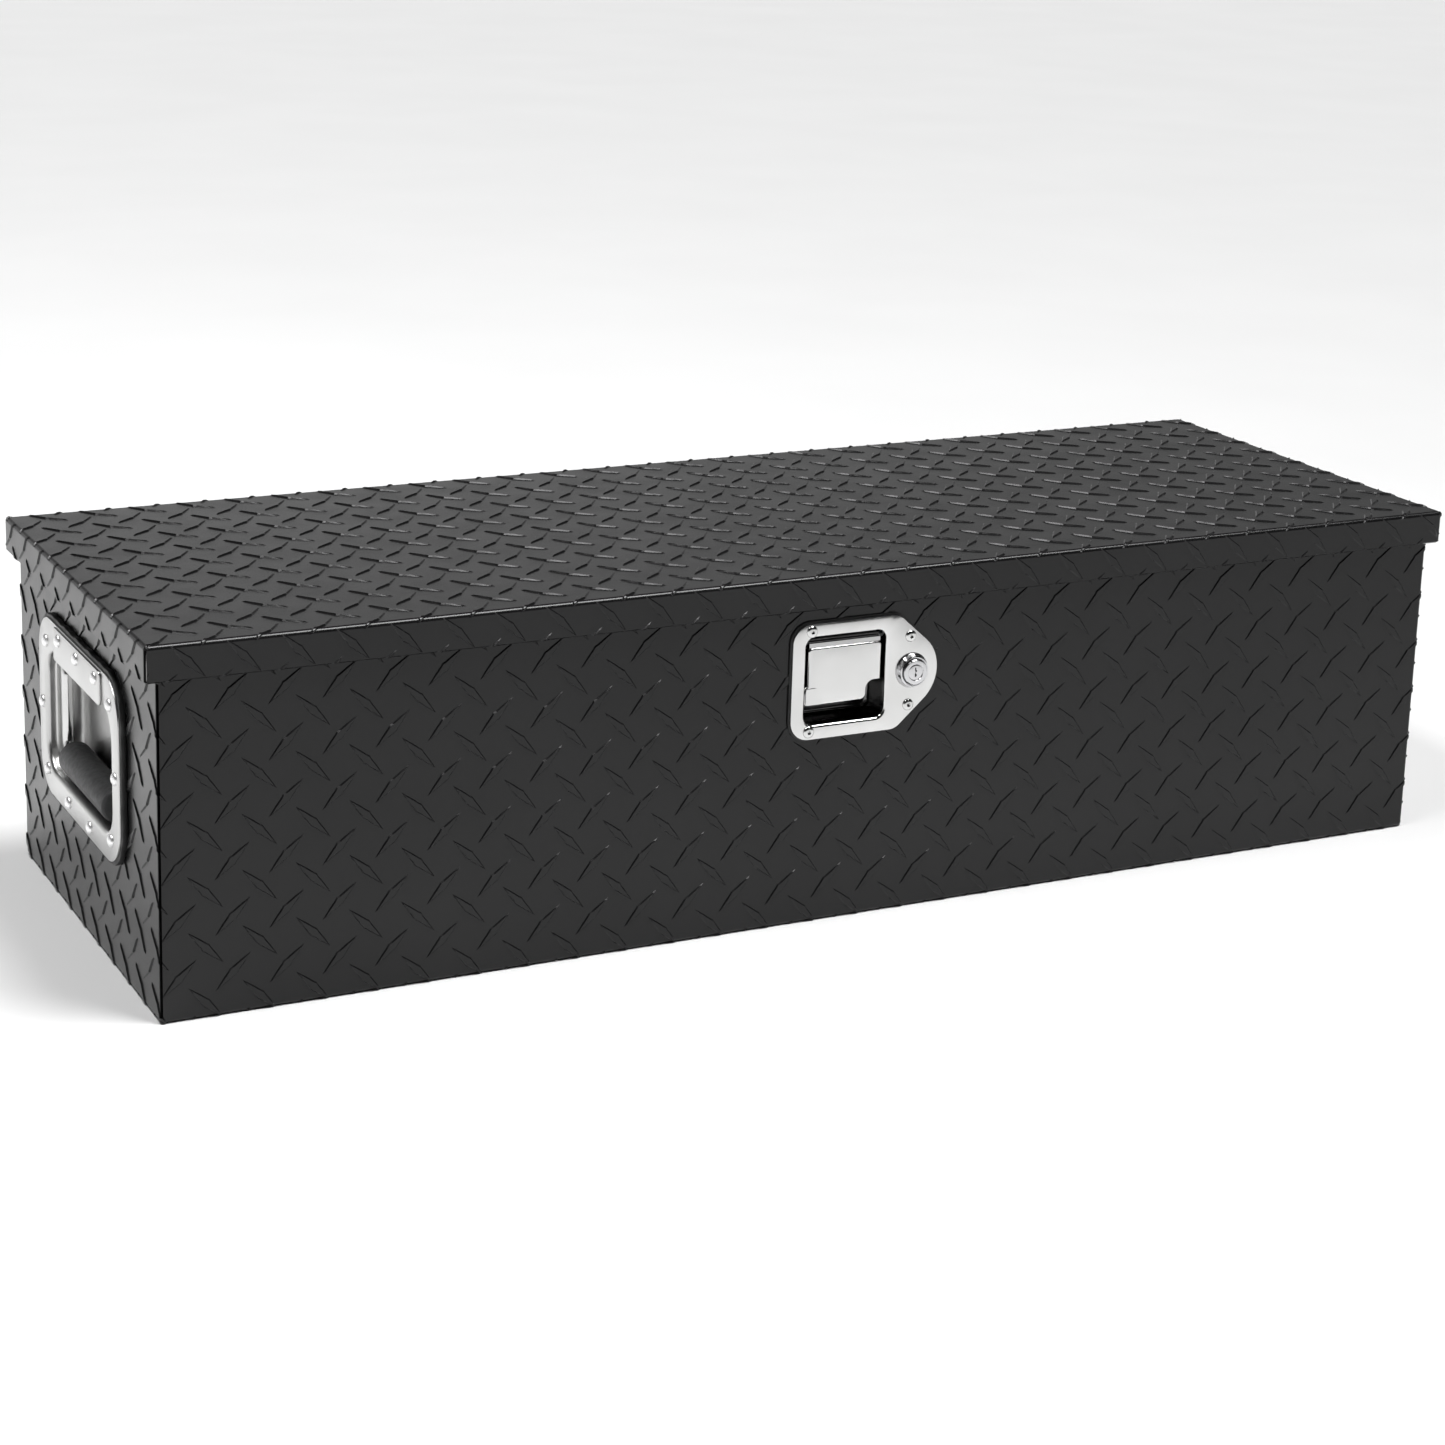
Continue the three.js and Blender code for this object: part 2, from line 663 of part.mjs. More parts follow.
const HANDLE_FACE = HALF_LENGTH + HANDLE_GASKET + HANDLE_PLATE + 2 * GAP;
const BAIL_X = -HALF_LENGTH + BAIL_INSET;

function handleOutline(grow) {
  const width = HANDLE_HALF_WIDTH + grow;
  const height = HANDLE_HALF_HEIGHT + grow;
  return roundedRectangle(-width, width, HANDLE_Z - height, HANDLE_Z + height, HANDLE_CORNER + grow);
}

function dishOutline(grow) {
  const width = DISH_HALF_WIDTH + grow;
  return roundedRectangle(
    -width, width, HANDLE_Z + DISH_LOW - grow, HANDLE_Z + DISH_HIGH + grow, DISH_CORNER + grow,
  );
}

const dishClearance = (x0, through, grow) => sidePlate(dishOutline(grow), x0, through, 3);

// Rivet places of one unit, in Y and Z; the three under the stop plate stand prouder.
function rivetPlaces() {
  const plain = HANDLE_RIVETS.map(([y, z]) => [y, HANDLE_Z + z, 0]);
  const stop = STOP_RIVETS.map((y) => [y, HANDLE_Z + STOP_RIVET_Z, 1]);
  return [...plain, ...stop];
}

function shankHoles(x0, through) {
  return rivetPlaces().map(([y, z]) => rodX(3, x0, x0 + through, y, z, 6));
}

// Plate and deep dish pressed in one sheet, with the two holes that the bail turns in.
function handleDish() {
  const x0 = -HANDLE_FACE;
  const plate = sidePlate(handleOutline(0), x0, HANDLE_PLATE, 4);
  const shell = sidePlate(dishOutline(1.2), x0, DISH_DEPTH + 1.2, 3);
  const hollow = sidePlate(dishOutline(0), x0 - 1, DISH_DEPTH + 1, 3);
  const reach = DISH_HALF_WIDTH + 5;
  const pivots = rodY(BAIL_R + 0.5, -reach, reach, BAIL_X, BAIL_PIVOT_Z, 12);
  return cut(join(plate, shell), hollow, pivots, ...shankHoles(x0 - 1, HANDLE_PLATE + 2));
}

function handleGasket() {
  const x0 = -HALF_LENGTH - GAP - HANDLE_GASKET;
  const sheet = sidePlate(handleOutline(2.2), x0, HANDLE_GASKET, 4);
  return cut(sheet, dishClearance(x0 - 1, HANDLE_GASKET + 2, 1.8), ...shankHoles(x0 - 1, HANDLE_GASKET + 2));
}

// Stop plate over the top of the opening.
function handleStop() {
  const x0 = -HANDLE_FACE - GAP - 1.4;
  const low = HANDLE_Z + DISH_HIGH - 1.5;
  const outline = roundedRectangle(-60, 52, low, HANDLE_Z + HANDLE_HALF_HEIGHT - 1, 3);
  return cut(sidePlate(outline, x0, 1.4, 2), ...shankHoles(x0 - 1, 4));
}

// Backing ring inside the wall with its rivets: shanks through the stack and domed heads outside.
function handleRivetRing() {
  const x0 = -HALF_LENGTH + SHEET + GAP;
  const ring = sidePlate(handleOutline(-1), x0, 1.5, 4);
  const opening = dishClearance(x0 - 1, 4, 6);
  const rivets = rivetPlaces().map(([y, z, proud]) => {
    const seat = -HANDLE_FACE - GAP - proud * (1.4 + GAP);
    return handleRivet(seat, x0 + 1, y, z);
  });
  return join(cut(ring, opening), ...rivets);
}

function handleRivet(seat, tail, y, z) {
  const geometry = turned(
    [
      [0, seat - 2.6],
      [2.6, seat - 2],
      [4.4, seat],
      [2.4, seat],
      [2.4, tail],
      [0, tail],
    ],
    6,
  );
  geometry.rotateZ(-Math.PI / 2);
  geometry.translate(0, y, z);
  return solid(geometry);
}

// Bail: one bent rod, turned outwards at both ends where it pivots in the dish.
function handleBail() {
  const bend = 9;
  const end = DISH_HALF_WIDTH + 4;
  const low = BAIL_PIVOT_Z - BAIL_DROP;
  const at = (y, z) => new THREE.Vector3(BAIL_X, y, z);
  const path = new THREE.CurvePath();
  const corner = (fromY, fromZ, y, z, toY, toZ) =>
    new THREE.QuadraticBezierCurve3(at(fromY, fromZ), at(y, z), at(toY, toZ));
  path.add(new THREE.LineCurve3(at(end, BAIL_PIVOT_Z), at(BAIL_HALF + 6, BAIL_PIVOT_Z)));
  path.add(corner(BAIL_HALF + 6, BAIL_PIVOT_Z, BAIL_HALF, BAIL_PIVOT_Z, BAIL_HALF, BAIL_PIVOT_Z - 6));
  path.add(new THREE.LineCurve3(at(BAIL_HALF, BAIL_PIVOT_Z - 6), at(BAIL_HALF, low + bend)));
  path.add(corner(BAIL_HALF, low + bend, BAIL_HALF, low, BAIL_HALF - bend, low));
  path.add(new THREE.LineCurve3(at(BAIL_HALF - bend, low), at(-BAIL_HALF + bend, low)));
  path.add(corner(-BAIL_HALF + bend, low, -BAIL_HALF, low, -BAIL_HALF, low + bend));
  path.add(new THREE.LineCurve3(at(-BAIL_HALF, low + bend), at(-BAIL_HALF, BAIL_PIVOT_Z - 6)));
  path.add(corner(-BAIL_HALF, BAIL_PIVOT_Z - 6, -BAIL_HALF, BAIL_PIVOT_Z, -BAIL_HALF - 6, BAIL_PIVOT_Z));
  path.add(new THREE.LineCurve3(at(-BAIL_HALF - 6, BAIL_PIVOT_Z), at(-end, BAIL_PIVOT_Z)));
  const section = polygon(circlePoints(BAIL_R, 8));
  const options = { steps: 42, extrudePath: path, bevelEnabled: false };
  return solid(new THREE.ExtrudeGeometry(section, options));
}

function circlePoints(radius, sides) {
  const points = [];
  for (let i = 0; i < sides; i++) {
    const angle = (2 * Math.PI * i) / sides;
    points.push([radius * Math.cos(angle), radius * Math.sin(angle)]);
  }
  return points;
}

// Rubber tube on the bail's cross run.
function handleGrip() {
  const z = BAIL_PIVOT_Z - BAIL_DROP;
  const half = GRIP_HALF;
  const tube = turned(
    [
      [BAIL_R + 0.5, -half],
      [GRIP_R - 1.5, -half],
      [GRIP_R, -half + 1.5],
      [GRIP_R, half - 1.5],
      [GRIP_R - 1.5, half],
      [BAIL_R + 0.5, half],
      [BAIL_R + 0.5, -half],
    ],
    16,
  );
  tube.translate(BAIL_X, 0, z);
  return solid(tube);
}

// ---- Gas struts, built at x = 0 along local Y from the tub stud; a group sets them in place ----

function strutCylinder() {
  const eye = cut(
    rodX(STRUT_EYE_R, -STRUT_EYE / 2, STRUT_EYE / 2, 0, 0, 14),
    rodX(STUD_R + 0.5, -STRUT_EYE, STRUT_EYE, 0, 0, 10),
  );
  const tube = cut(
    rodY(STRUT_TUBE_R, STRUT_EYE_R - 1.5, 132, 0, 0, 14),
    rodY(STRUT_ROD_R + 0.9, 20, 134, 0, 0, 10),
  );
  return join(eye, tube);
}

function strutRod() {
  const rod = rodY(STRUT_ROD_R, 22.6, STRUT_LENGTH - STRUT_EYE_R + 1, 0, 0, 10);
  const eye = rodX(STRUT_EYE_R, -STRUT_EYE / 2, STRUT_EYE / 2, STRUT_LENGTH, 0, 14);
  return join(rod, eye);
}

// Gusset on the back wall whose stud carries the cylinder's eye; side is -1 at the left end.
function strutBracket(side) {
  const [y, z] = STRUT_TUB;
  const wall = HALF_DEPTH - SHEET - GAP;
  const ear = STRUT_X + STRUT_EYE / 2 + 4;
  const gusset = polygon([
    [y - 8, z - 7],
    [y + 4, z - 12],
    [wall, z - 24],
    [wall, z + 14],
    [y + 4, z + 9],
    [y - 8, z + 7],
  ]);
  const x0 = side > 0 ? ear : -ear - 3;
  const web = sidePlate(gusset, x0, 3);
  const base = side > 0
    ? block(ear, ear + 22, wall - 2, wall, z - 24, z + 14)
    : block(-ear - 22, -ear, wall - 2, wall, z - 24, z + 14);
  const inner = STRUT_X - STRUT_EYE / 2 - 1;
  const stud = side > 0
    ? rodX(STUD_R, inner, ear + 1, y, z, 10)
    : rodX(STUD_R, -ear - 1, -inner, y, z, 10);
  return join(web, base, stud);
}

// Bracket under the lid whose stud meets the rod's eye face to face.
function strutStud(side) {
  const [y, z] = STRUT_LID;
  const top = LID_INNER_Z - GAP;
  const inner = STRUT_X - STRUT_EYE / 2 - 10;
  const face = STRUT_X - STRUT_EYE / 2 - 0.4;
  const x0 = side > 0 ? inner : -inner - 3;
  const web = block(x0, x0 + 3, y - 10, y + 10, z - 7, top);
  const base = side > 0
    ? block(inner - 20, inner + 3, y - 12, y + 12, top - 2, top)
    : block(-inner - 3, -inner + 20, y - 12, y + 12, top - 2, top);
  const stud = side > 0
    ? rodX(STUD_R, inner + 1, face, y, z, 10)
    : rodX(STUD_R, -face, -inner - 1, y, z, 10);
  return join(web, base, stud);
}

// ---- Assembly ----

const toolBox = new THREE.Group();

const tub = new THREE.Group();
tub.add(part("body_shell", bodyShell(), blackPaint));
tub.add(part("weather_seal", weatherSeal(), foamRubber));
tub.add(part("hinge_leaf_body", bodyLeaf(), stainless));
tub.add(part("hinge_pin", hingePin(), stainless));
toolBox.add(tub);

const lid = new THREE.Group();
lid.add(part("lid_shell", lidShell(), blackPaint));
lid.add(part("hinge_leaf_lid", lidLeaf(), stainless));
lid.add(part("lid_stiffener_left", lidStiffener(-230), blackPaint));
lid.add(part("lid_stiffener_right", lidStiffener(230), blackPaint));
lid.add(part("striker", striker(), zincSteel));
toolBox.add(lid);

const latch = new THREE.Group();
latch.add(part("latch_faceplate", latchFaceplate(), stainless));
latch.add(part("latch_gasket", latchGasket(), blackRubber));
LATCH_RIVETS.forEach(([x, z], i) => {
  latch.add(part(`latch_rivet_${i + 1}`, latchRivet(x, z), stainless));
});
const pinReach = PAN_HALF + PAN_WALL + 0.6;
latch.add(part("paddle", paddle(), stainless));
latch.add(part("paddle_pin", rodX(1.8, PAN_X - pinReach, PAN_X + pinReach, PADDLE_Y, PADDLE_Z, 10), zincSteel));
latch.add(part("latch_bracket", latchBracket(), zincSteel));
latch.add(part("latch_hook", latchHook(), zincSteel));
latch.add(part("hook_pin", rodX(2.4, PAN_X - 18, PAN_X + 18, HOOK_Y, HOOK_Z, 10), zincSteel));
latch.add(part("hook_spring", hookSpring(), zincSteel));
latch.add(part("lock_barrel", lockBarrel(), chromed));
latch.add(part("lock_nut", lockNut(), zincSteel));
latch.add(part("lock_plug", lockPlug(), chromed));
latch.add(part("lock_cam", lockCam(), zincSteel));
toolBox.add(latch);

// Each end of the box: its wall, its handle unit and its gas strut.
const ends = [
  { name: "left", side: -1, turn: 0 },
  { name: "right", side: 1, turn: Math.PI },
];
for (const { name, side, turn } of ends) {
  const end = new THREE.Group();
  end.rotation.z = turn;
  end.add(part(`end_panel_${name}`, endPanel(), blackPaint));
  end.add(part(`handle_dish_${name}`, handleDish(), stainless));
  end.add(part(`handle_gasket_${name}`, handleGasket(), blackRubber));
  end.add(part(`handle_stop_${name}`, handleStop(), stainless));
  end.add(part(`handle_rivet_ring_${name}`, handleRivetRing(), stainless));
  end.add(part(`handle_bail_${name}`, handleBail(), stainless));
  end.add(part(`handle_grip_${name}`, handleGrip(), blackRubber));
  toolBox.add(end);

  const strut = new THREE.Group();
  strut.position.set(side * STRUT_X, ...STRUT_TUB);
  strut.rotation.x = STRUT_ANGLE;
  strut.add(part(`strut_cylinder_${name}`, strutCylinder(), strutPaint));
  strut.add(part(`strut_rod_${name}`, strutRod(), chromed));
  toolBox.add(strut);
  tub.add(part(`strut_bracket_${name}`, strutBracket(side), zincSteel));
  lid.add(part(`strut_stud_${name}`, strutStud(side), zincSteel));
}

export default toolBox;
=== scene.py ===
"""Looks of a truck tool box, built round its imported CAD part. Metres, +Z up, the front faces -Y."""

import json
import math
from collections import Counter
from itertools import product

import bmesh
import bpy
import numpy as np
from mathutils import Matrix, Vector
from mathutils.geometry import delaunay_2d_cdt


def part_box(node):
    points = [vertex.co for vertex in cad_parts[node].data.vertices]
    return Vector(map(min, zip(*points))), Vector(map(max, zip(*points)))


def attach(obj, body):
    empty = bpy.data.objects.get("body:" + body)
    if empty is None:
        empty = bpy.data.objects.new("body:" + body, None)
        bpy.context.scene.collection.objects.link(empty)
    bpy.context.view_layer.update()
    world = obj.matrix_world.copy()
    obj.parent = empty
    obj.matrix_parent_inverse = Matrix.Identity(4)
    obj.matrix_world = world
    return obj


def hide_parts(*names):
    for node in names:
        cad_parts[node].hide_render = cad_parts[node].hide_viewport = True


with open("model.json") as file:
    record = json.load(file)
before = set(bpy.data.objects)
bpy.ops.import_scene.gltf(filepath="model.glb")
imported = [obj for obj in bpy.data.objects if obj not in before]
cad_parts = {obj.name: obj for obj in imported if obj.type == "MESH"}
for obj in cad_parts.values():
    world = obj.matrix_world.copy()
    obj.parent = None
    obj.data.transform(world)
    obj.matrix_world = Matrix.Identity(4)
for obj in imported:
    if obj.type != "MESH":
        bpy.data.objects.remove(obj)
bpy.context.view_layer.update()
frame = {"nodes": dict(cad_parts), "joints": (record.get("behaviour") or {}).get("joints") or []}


def centre_of(node):
    low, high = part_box(node)
    return (low + high) / 2


MM = 0.001
AXIS_X, AXIS_Y, AXIS_Z = (Vector(row) for row in Matrix.Identity(3))
RIGHT_ANGLE = math.pi / 2

# Sizes that come from the CAD part.
LID_LOW, LID_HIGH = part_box("lid_shell")
TUB_HALF_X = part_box("end_panel_right")[1].x
TUB_HALF_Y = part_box("body_shell")[1].y
RIM_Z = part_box("body_shell")[1].z

# Sheet metal: thickness, folds, seams at the corners, and the room that holes leave round a pan.
SHEET = 1.6 * MM
BEND = 3 * MM
BEND_STEPS = 5
SEAM_START = 1.2 * MM
SEAM_WIDTH = 2 * MM
PAN_ROOM = 2.2 * MM

# Raised diamonds of the tread plate: their foot and crest are half widths in mm at fractions of the
# half length. They fade out near a fold, and a free edge is eased by a slope.
DIAMOND_HALF = 16.4 * MM
DIAMOND_HEIGHT = 0.95 * MM
DIAMOND_BASE = [(0, 3.25), (0.13, 2.65), (0.5, 1.75), (0.8, 0.75), (1, 0)]
DIAMOND_CREST = [(0, 2.4), (0.13, 1.8), (0.5, 0.9), (0.8, 0.1), (0.86, 0)]
DIAMOND_REACH = 0.75
DIAGONAL = math.sqrt(0.5)
FADE = 2 * MM
EASE_SLOPE = 1.3
JOINED = 0.004 * MM


# ---- Materials ----

# The stretch of a noise that the colours and roughnesses use.
NOISE_LOW, NOISE_HIGH = 0.3, 0.7


def wired(tree, kind, outlet, inputs, operation=None):
    """Adds a node whose inputs are numbers or other nodes' outlets, and returns one of its outlets."""
    node = tree.nodes.new("ShaderNode" + kind)
    if operation:
        node.operation = operation
    for key, value in inputs.items():
        if isinstance(value, bpy.types.NodeSocket):
            tree.links.new(value, node.inputs[key])
        else:
            node.inputs[key].default_value = value
    return node.outputs[outlet]


def mapped(tree, value, start, end, low, high):
    """A number that goes from low to high where value goes from start to end."""
    limits = {"From Min": start, "From Max": end, "To Min": low, "To Max": high}
    return wired(tree, "MapRange", "Result", {"Value": value, **limits})


class Finish:
    """A material with helpers for the procedural nodes behind its shader."""

    def __init__(self, name, colour, roughness, metallic=0.0):
        self.material = bpy.data.materials.new(name)
        self.material.use_nodes = True
        self.tree = self.material.node_tree
        self.inputs = self.tree.nodes["Principled BSDF"].inputs
        self.inputs["Base Color"].default_value = (*colour, 1)
        self.inputs["Roughness"].default_value = roughness
        self.inputs["Metallic"].default_value = metallic
        self.place = wired(self.tree, "TexCoord", "Object", {})

    def stretched(self, scale):
        """Object coordinates scaled apart along the three axes."""
        return wired(self.tree, "Mapping", "Vector", {"Scale": scale, "Vector": self.place})

    def noise(self, scale, detail=3.0, place=None):
        inputs = {"Scale": scale, "Detail": detail, "Vector": place or self.place}
        return wired(self.tree, "TexNoise", "Fac", inputs)

    def cells(self, scale):
        return wired(self.tree, "TexVoronoi", "Distance", {"Scale": scale, "Vector": self.place})

    def colour(self, value, low, high, start=NOISE_LOW, end=NOISE_HIGH):
        """Colours from low to high where value goes from start to end."""
        node = self.tree.nodes.new("ShaderNodeValToRGB")
        for element, position, colour in zip(node.color_ramp.elements, (start, end), (low, high)):
            element.position = position
            element.color = (*colour, 1)
        self.tree.links.new(value, node.inputs["Fac"])
        self.tree.links.new(node.outputs["Color"], self.inputs["Base Color"])

    def shaded_deeper(self, axis, start, end, least):
        """Painted shade: darkens the colour to a least part of itself along an axis, from start to end."""
        along = wired(self.tree, "SeparateXYZ", axis, {"Vector": self.place})
        base = self.inputs["Base Color"]
        level = mapped(self.tree, along, start, end, 1, least)
        inputs = {"Vector": base.links[0].from_socket, "Scale": level}
        self.tree.links.new(wired(self.tree, "VectorMath", "Vector", inputs, "SCALE"), base)

    def roughness(self, value, low, high):
        level = mapped(self.tree, value, NOISE_LOW, NOISE_HIGH, low, high)
        self.tree.links.new(level, self.inputs["Roughness"])

    def bump(self, value, strength, distance):
        """Adds a bump on top of the ones made before."""
        normal = self.inputs["Normal"]
        inputs = {"Strength": strength, "Distance": distance, "Height": value}
        if normal.is_linked:
            inputs["Normal"] = normal.links[0].from_socket
        self.tree.links.new(wired(self.tree, "Bump", "Normal", inputs), normal)


def powder_coat():
    """Satin black powder coat with a fine orange peel."""
    made = Finish("black_powder_coat", (0.007, 0.007, 0.0072), 0.24)
    made.inputs["Specular IOR Level"].default_value = 0.3
    made.colour(made.noise(7, 2), (0.0052, 0.0052, 0.0054), (0.0085, 0.0085, 0.0088))
    made.roughness(made.noise(38, 4), 0.21, 0.27)
    made.bump(made.noise(700, 2), 0.06, 0.1 * MM)
    return made.material


def polished_stainless(name="polished_stainless", painted_shade_from=None):
    """Bright stainless sheet with a faint rolling grain and polishing marks.
    With a depth given, painted shade darkens the colour inside the pan from that depth on."""
    made = Finish(name, (0.62, 0.62, 0.615), 0.16, 1.0)
    made.colour(made.noise(30, 3), (0.59, 0.59, 0.585), (0.66, 0.66, 0.655))
    if painted_shade_from is not None:
        # painted shade: the colour darkens inside the pan, deeper than the given depth
        made.shaded_deeper("Y", painted_shade_from, painted_shade_from + 2 * MM, 0.2)
    grain = made.noise(1, 3, made.stretched((60, 1400, 1400)))
    made.roughness(made.noise(55, 3), 0.10, 0.19)
    made.bump(grain, 0.05, 0.04 * MM)
    made.bump(made.noise(35, 2), 0.06, 0.3 * MM)
    return made.material


def satin_stainless():
    """Drawn stainless of the end handles, with a softer shine."""
    made = Finish("satin_stainless", (0.52, 0.52, 0.515), 0.3, 1.0)
    made.colour(made.noise(25, 2), (0.50, 0.50, 0.495), (0.54, 0.54, 0.535))
    made.roughness(made.noise(40, 2), 0.28, 0.32)
    made.bump(made.noise(900, 2), 0.008, 0.05 * MM)
    return made.material


def rivet_alloy():
    """Bare aluminium of the handle rivets."""
    made = Finish("rivet_alloy", (0.86, 0.86, 0.86), 0.42, 1.0)
    made.colour(made.noise(90, 2), (0.82, 0.82, 0.82), (0.9, 0.9, 0.9))
    made.roughness(made.noise(120, 2), 0.38, 0.46)
    made.bump(made.noise(700, 2), 0.05, 0.05 * MM)
    return made.material


def brushed_stainless():
    """Satin stainless of the hinge, brushed along its length."""
    made = Finish("brushed_stainless", (0.56, 0.56, 0.55), 0.28, 1.0)
    grain = made.noise(1, 4, made.stretched((14, 2200, 2200)))
    made.colour(grain, (0.50, 0.50, 0.495), (0.62, 0.62, 0.61))
    made.roughness(grain, 0.22, 0.36)
    made.bump(grain, 0.12, 0.05 * MM)
    return made.material


def chrome():
    made = Finish("chrome_plate", (0.58, 0.58, 0.59), 0.15, 1.0)
    made.colour(made.noise(60, 2), (0.55, 0.55, 0.56), (0.62, 0.62, 0.63))
    made.roughness(made.noise(160, 3), 0.12, 0.19)
    made.bump(made.noise(400, 2), 0.03, 0.05 * MM)
    return made.material


def zinc_plate():
    """Passivated zinc with its cloudy bluish mottling."""
    made = Finish("zinc_plate", (0.5, 0.51, 0.53), 0.36, 1.0)
    made.colour(made.noise(150, 4), (0.40, 0.41, 0.44), (0.60, 0.61, 0.60))
    made.roughness(made.noise(220, 3), 0.28, 0.46)
    made.bump(made.noise(900, 3), 0.15, 0.06 * MM)
    return made.material


def moulded_rubber():
    """Matt black rubber with a fine pebbled skin."""
    made = Finish("moulded_rubber", (0.026, 0.026, 0.027), 0.55)
    made.colour(made.noise(90, 3), (0.021, 0.021, 0.022), (0.034, 0.034, 0.035))
    made.roughness(made.noise(300, 3), 0.45, 0.62)
    made.bump(made.noise(1400, 2), 0.25, 0.12 * MM)
    return made.material


def sealing_compound():
    """Black gasket that is squeezed out a little unevenly."""
    made = Finish("gasket_rubber", (0.006, 0.006, 0.006), 0.5)
    made.colour(made.noise(80, 3), (0.004, 0.004, 0.004), (0.010, 0.010, 0.010))
    made.roughness(made.noise(120, 3), 0.4, 0.6)
    made.bump(made.noise(260, 3), 0.4, 0.4 * MM)
    return made.material


def foam_seal():
    """Closed-cell sponge with open pores on its skin."""
    made = Finish("sponge_seal", (0.012, 0.012, 0.012), 0.9)
    pores = made.cells(900)
    made.colour(pores, (0.006, 0.006, 0.006), (0.02, 0.02, 0.02), 0.1, 0.6)
    made.roughness(made.noise(400, 2), 0.82, 0.95)
    made.bump(pores, 0.5, 0.3 * MM)
    return made.material


def strut_enamel():
    made = Finish("strut_enamel", (0.012, 0.012, 0.013), 0.3)
    made.colour(made.noise(40, 2), (0.010, 0.010, 0.011), (0.016, 0.016, 0.017))
    made.roughness(made.noise(120, 3), 0.22, 0.36)
    made.bump(made.noise(700, 2), 0.08, 0.08 * MM)
    return made.material


BLACK = powder_coat()
POLISHED = polished_stainless()
# latch plate and paddle: polished stainless with painted shade inside the pan
PRESSED_SHADED = polished_stainless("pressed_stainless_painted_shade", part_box("latch_faceplate")[0].y + 2.2 * MM)
SATIN = satin_stainless()
ALLOY = rivet_alloy()
BRUSHED = brushed_stainless()
CHROME = chrome()
ZINC = zinc_plate()
RUBBER = moulded_rubber()
GASKET = sealing_compound()
FOAM = foam_seal()
ENAMEL = strut_enamel()


# ---- Making pieces ----


def added(name, data):
    """A new object of the scene, from a mesh, a light or a camera."""
    obj = bpy.data.objects.new(name, data)
    bpy.context.scene.collection.objects.link(obj)
    return obj


def mesh_of(bm, name, material):
    mesh = bpy.data.meshes.new(name)
    bm.to_mesh(mesh)
    bm.free()
    mesh.materials.append(material)
    return mesh


def ridden(name, mesh, body, nodes):
    """The mesh as a piece that rides on a CAD body and stands for its nodes."""
    obj = added(name, mesh)
    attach(obj, body)
    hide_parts(*nodes)


def piece(name, bm, body, material, nodes=(), sharp=32):
    """Cleans the mesh, shades it smooth up to a sharp angle in degrees, and makes a piece of it."""
    bmesh.ops.remove_doubles(bm, verts=bm.verts, dist=0.002 * MM)
    bmesh.ops.recalc_face_normals(bm, faces=bm.faces)
    mesh = mesh_of(bm, name, material)
    mesh.shade_smooth()
    mesh.set_sharp_from_angle(angle=math.radians(sharp))
    ridden(name, mesh, body, nodes)


def loft(bm, loops):
    """Quads between closed loops of points, which all have the same number of points."""
    rows = [[bm.verts.new(point) for point in loop] for loop in loops]
    count = len(rows[0])
    for low, high in zip(rows, rows[1:]):
        for i in range(count):
            j = (i + 1) % count
            bm.faces.new((low[i], low[j], high[j], high[i]))
    return rows


def contains(loops, point):
    """True where a line out of the point crosses the loops an odd number of times."""
    odd = False
    x, y = point
    for loop in loops:
        for (x0, y0), (x1, y1) in zip(loop, loop[1:] + loop[:1]):
            if (y0 > y) != (y1 > y) and x < x0 + (y - y0) * (x1 - x0) / (y1 - y0):
                odd = not odd
    return odd


def triangulate(points, edges):
    return delaunay_2d_cdt([Vector(p) for p in points], edges, [], 0, 1e-8, True)


def ring_edges(first, count):
    return [(first + i, first + (i + 1) % count) for i in range(count)]


def fill(bm, rows, u_axis, v_axis):
    """Flat triangles between loops of vertices: an outline and the holes in it."""
    verts = [v for row in rows for v in row]
    loops = [[(v.co.dot(u_axis), v.co.dot(v_axis)) for v in row] for row in rows]
    edges = []
    for row in rows:
        edges += ring_edges(len(edges), len(row))
    made = triangulate([p for loop in loops for p in loop], edges)
    for tri in made[2]:
        middle = sum((made[0][i] for i in tri), Vector((0, 0))) / 3
        corners = [verts[made[3][i][0]] for i in tri if made[3][i]]
        if len(set(corners)) == 3 and contains(loops, middle):
            if not bm.faces.get(corners):
                bm.faces.new(corners)


def in_metres(pairs):
    return [(a * MM, b * MM) for a, b in pairs]


def arc(centre, radius, start, end, steps):
    """Points on an arc, with its angles in degrees."""
    turns = (math.radians(start + (end - start) * i / steps) for i in range(steps + 1))
    return [(centre[0] + radius * math.cos(a), centre[1] + radius * math.sin(a)) for a in turns]


def rounded_rectangle(half_u, half_v, radius, centre=(0, 0), steps=6):
    points = []
    for turn, (su, sv) in enumerate(((1, 1), (-1, 1), (-1, -1), (1, -1))):
        middle = (centre[0] + su * (half_u - radius), centre[1] + sv * (half_v - radius))
        points += arc(middle, radius, 90 * turn, 90 * turn + 90, steps)
    return points


def dense(points, step):
    """A closed outline with more points along its long sides."""
    made = []
    for (u0, v0), (u1, v1) in zip(points, points[1:] + points[:1]):
        parts = max(1, round(math.hypot(u1 - u0, v1 - v0) / step))
        made += [(u0 + (u1 - u0) * i / parts, v0 + (v1 - v0) * i / parts) for i in range(parts)]
    return made


def turned(bm, profile, origin, axis, sides=24):
    """A closed solid turned about an axis: pairs of radius and distance along the axis."""
    side = axis.orthogonal().normalized()
    other = axis.cross(side)
    loops = []
    for radius, along in profile:
        circle = arc((0, 0), max(radius, 0.001 * MM), 0, 360 - 360 / sides, sides - 1)
        loops.append([origin + axis * along + side * a + other * b for a, b in circle])
    rows = loft(bm, loops)
    if profile[0] != profile[-1]:
        bm.faces.new(rows[0])
        bm.faces.new(rows[-1])


def walls(bm, place, loop, depths):
    """A loop of (u, v) carried through some depths."""
    return loft(bm, [[place(u, v, depth) for u, v in loop] for depth in depths])


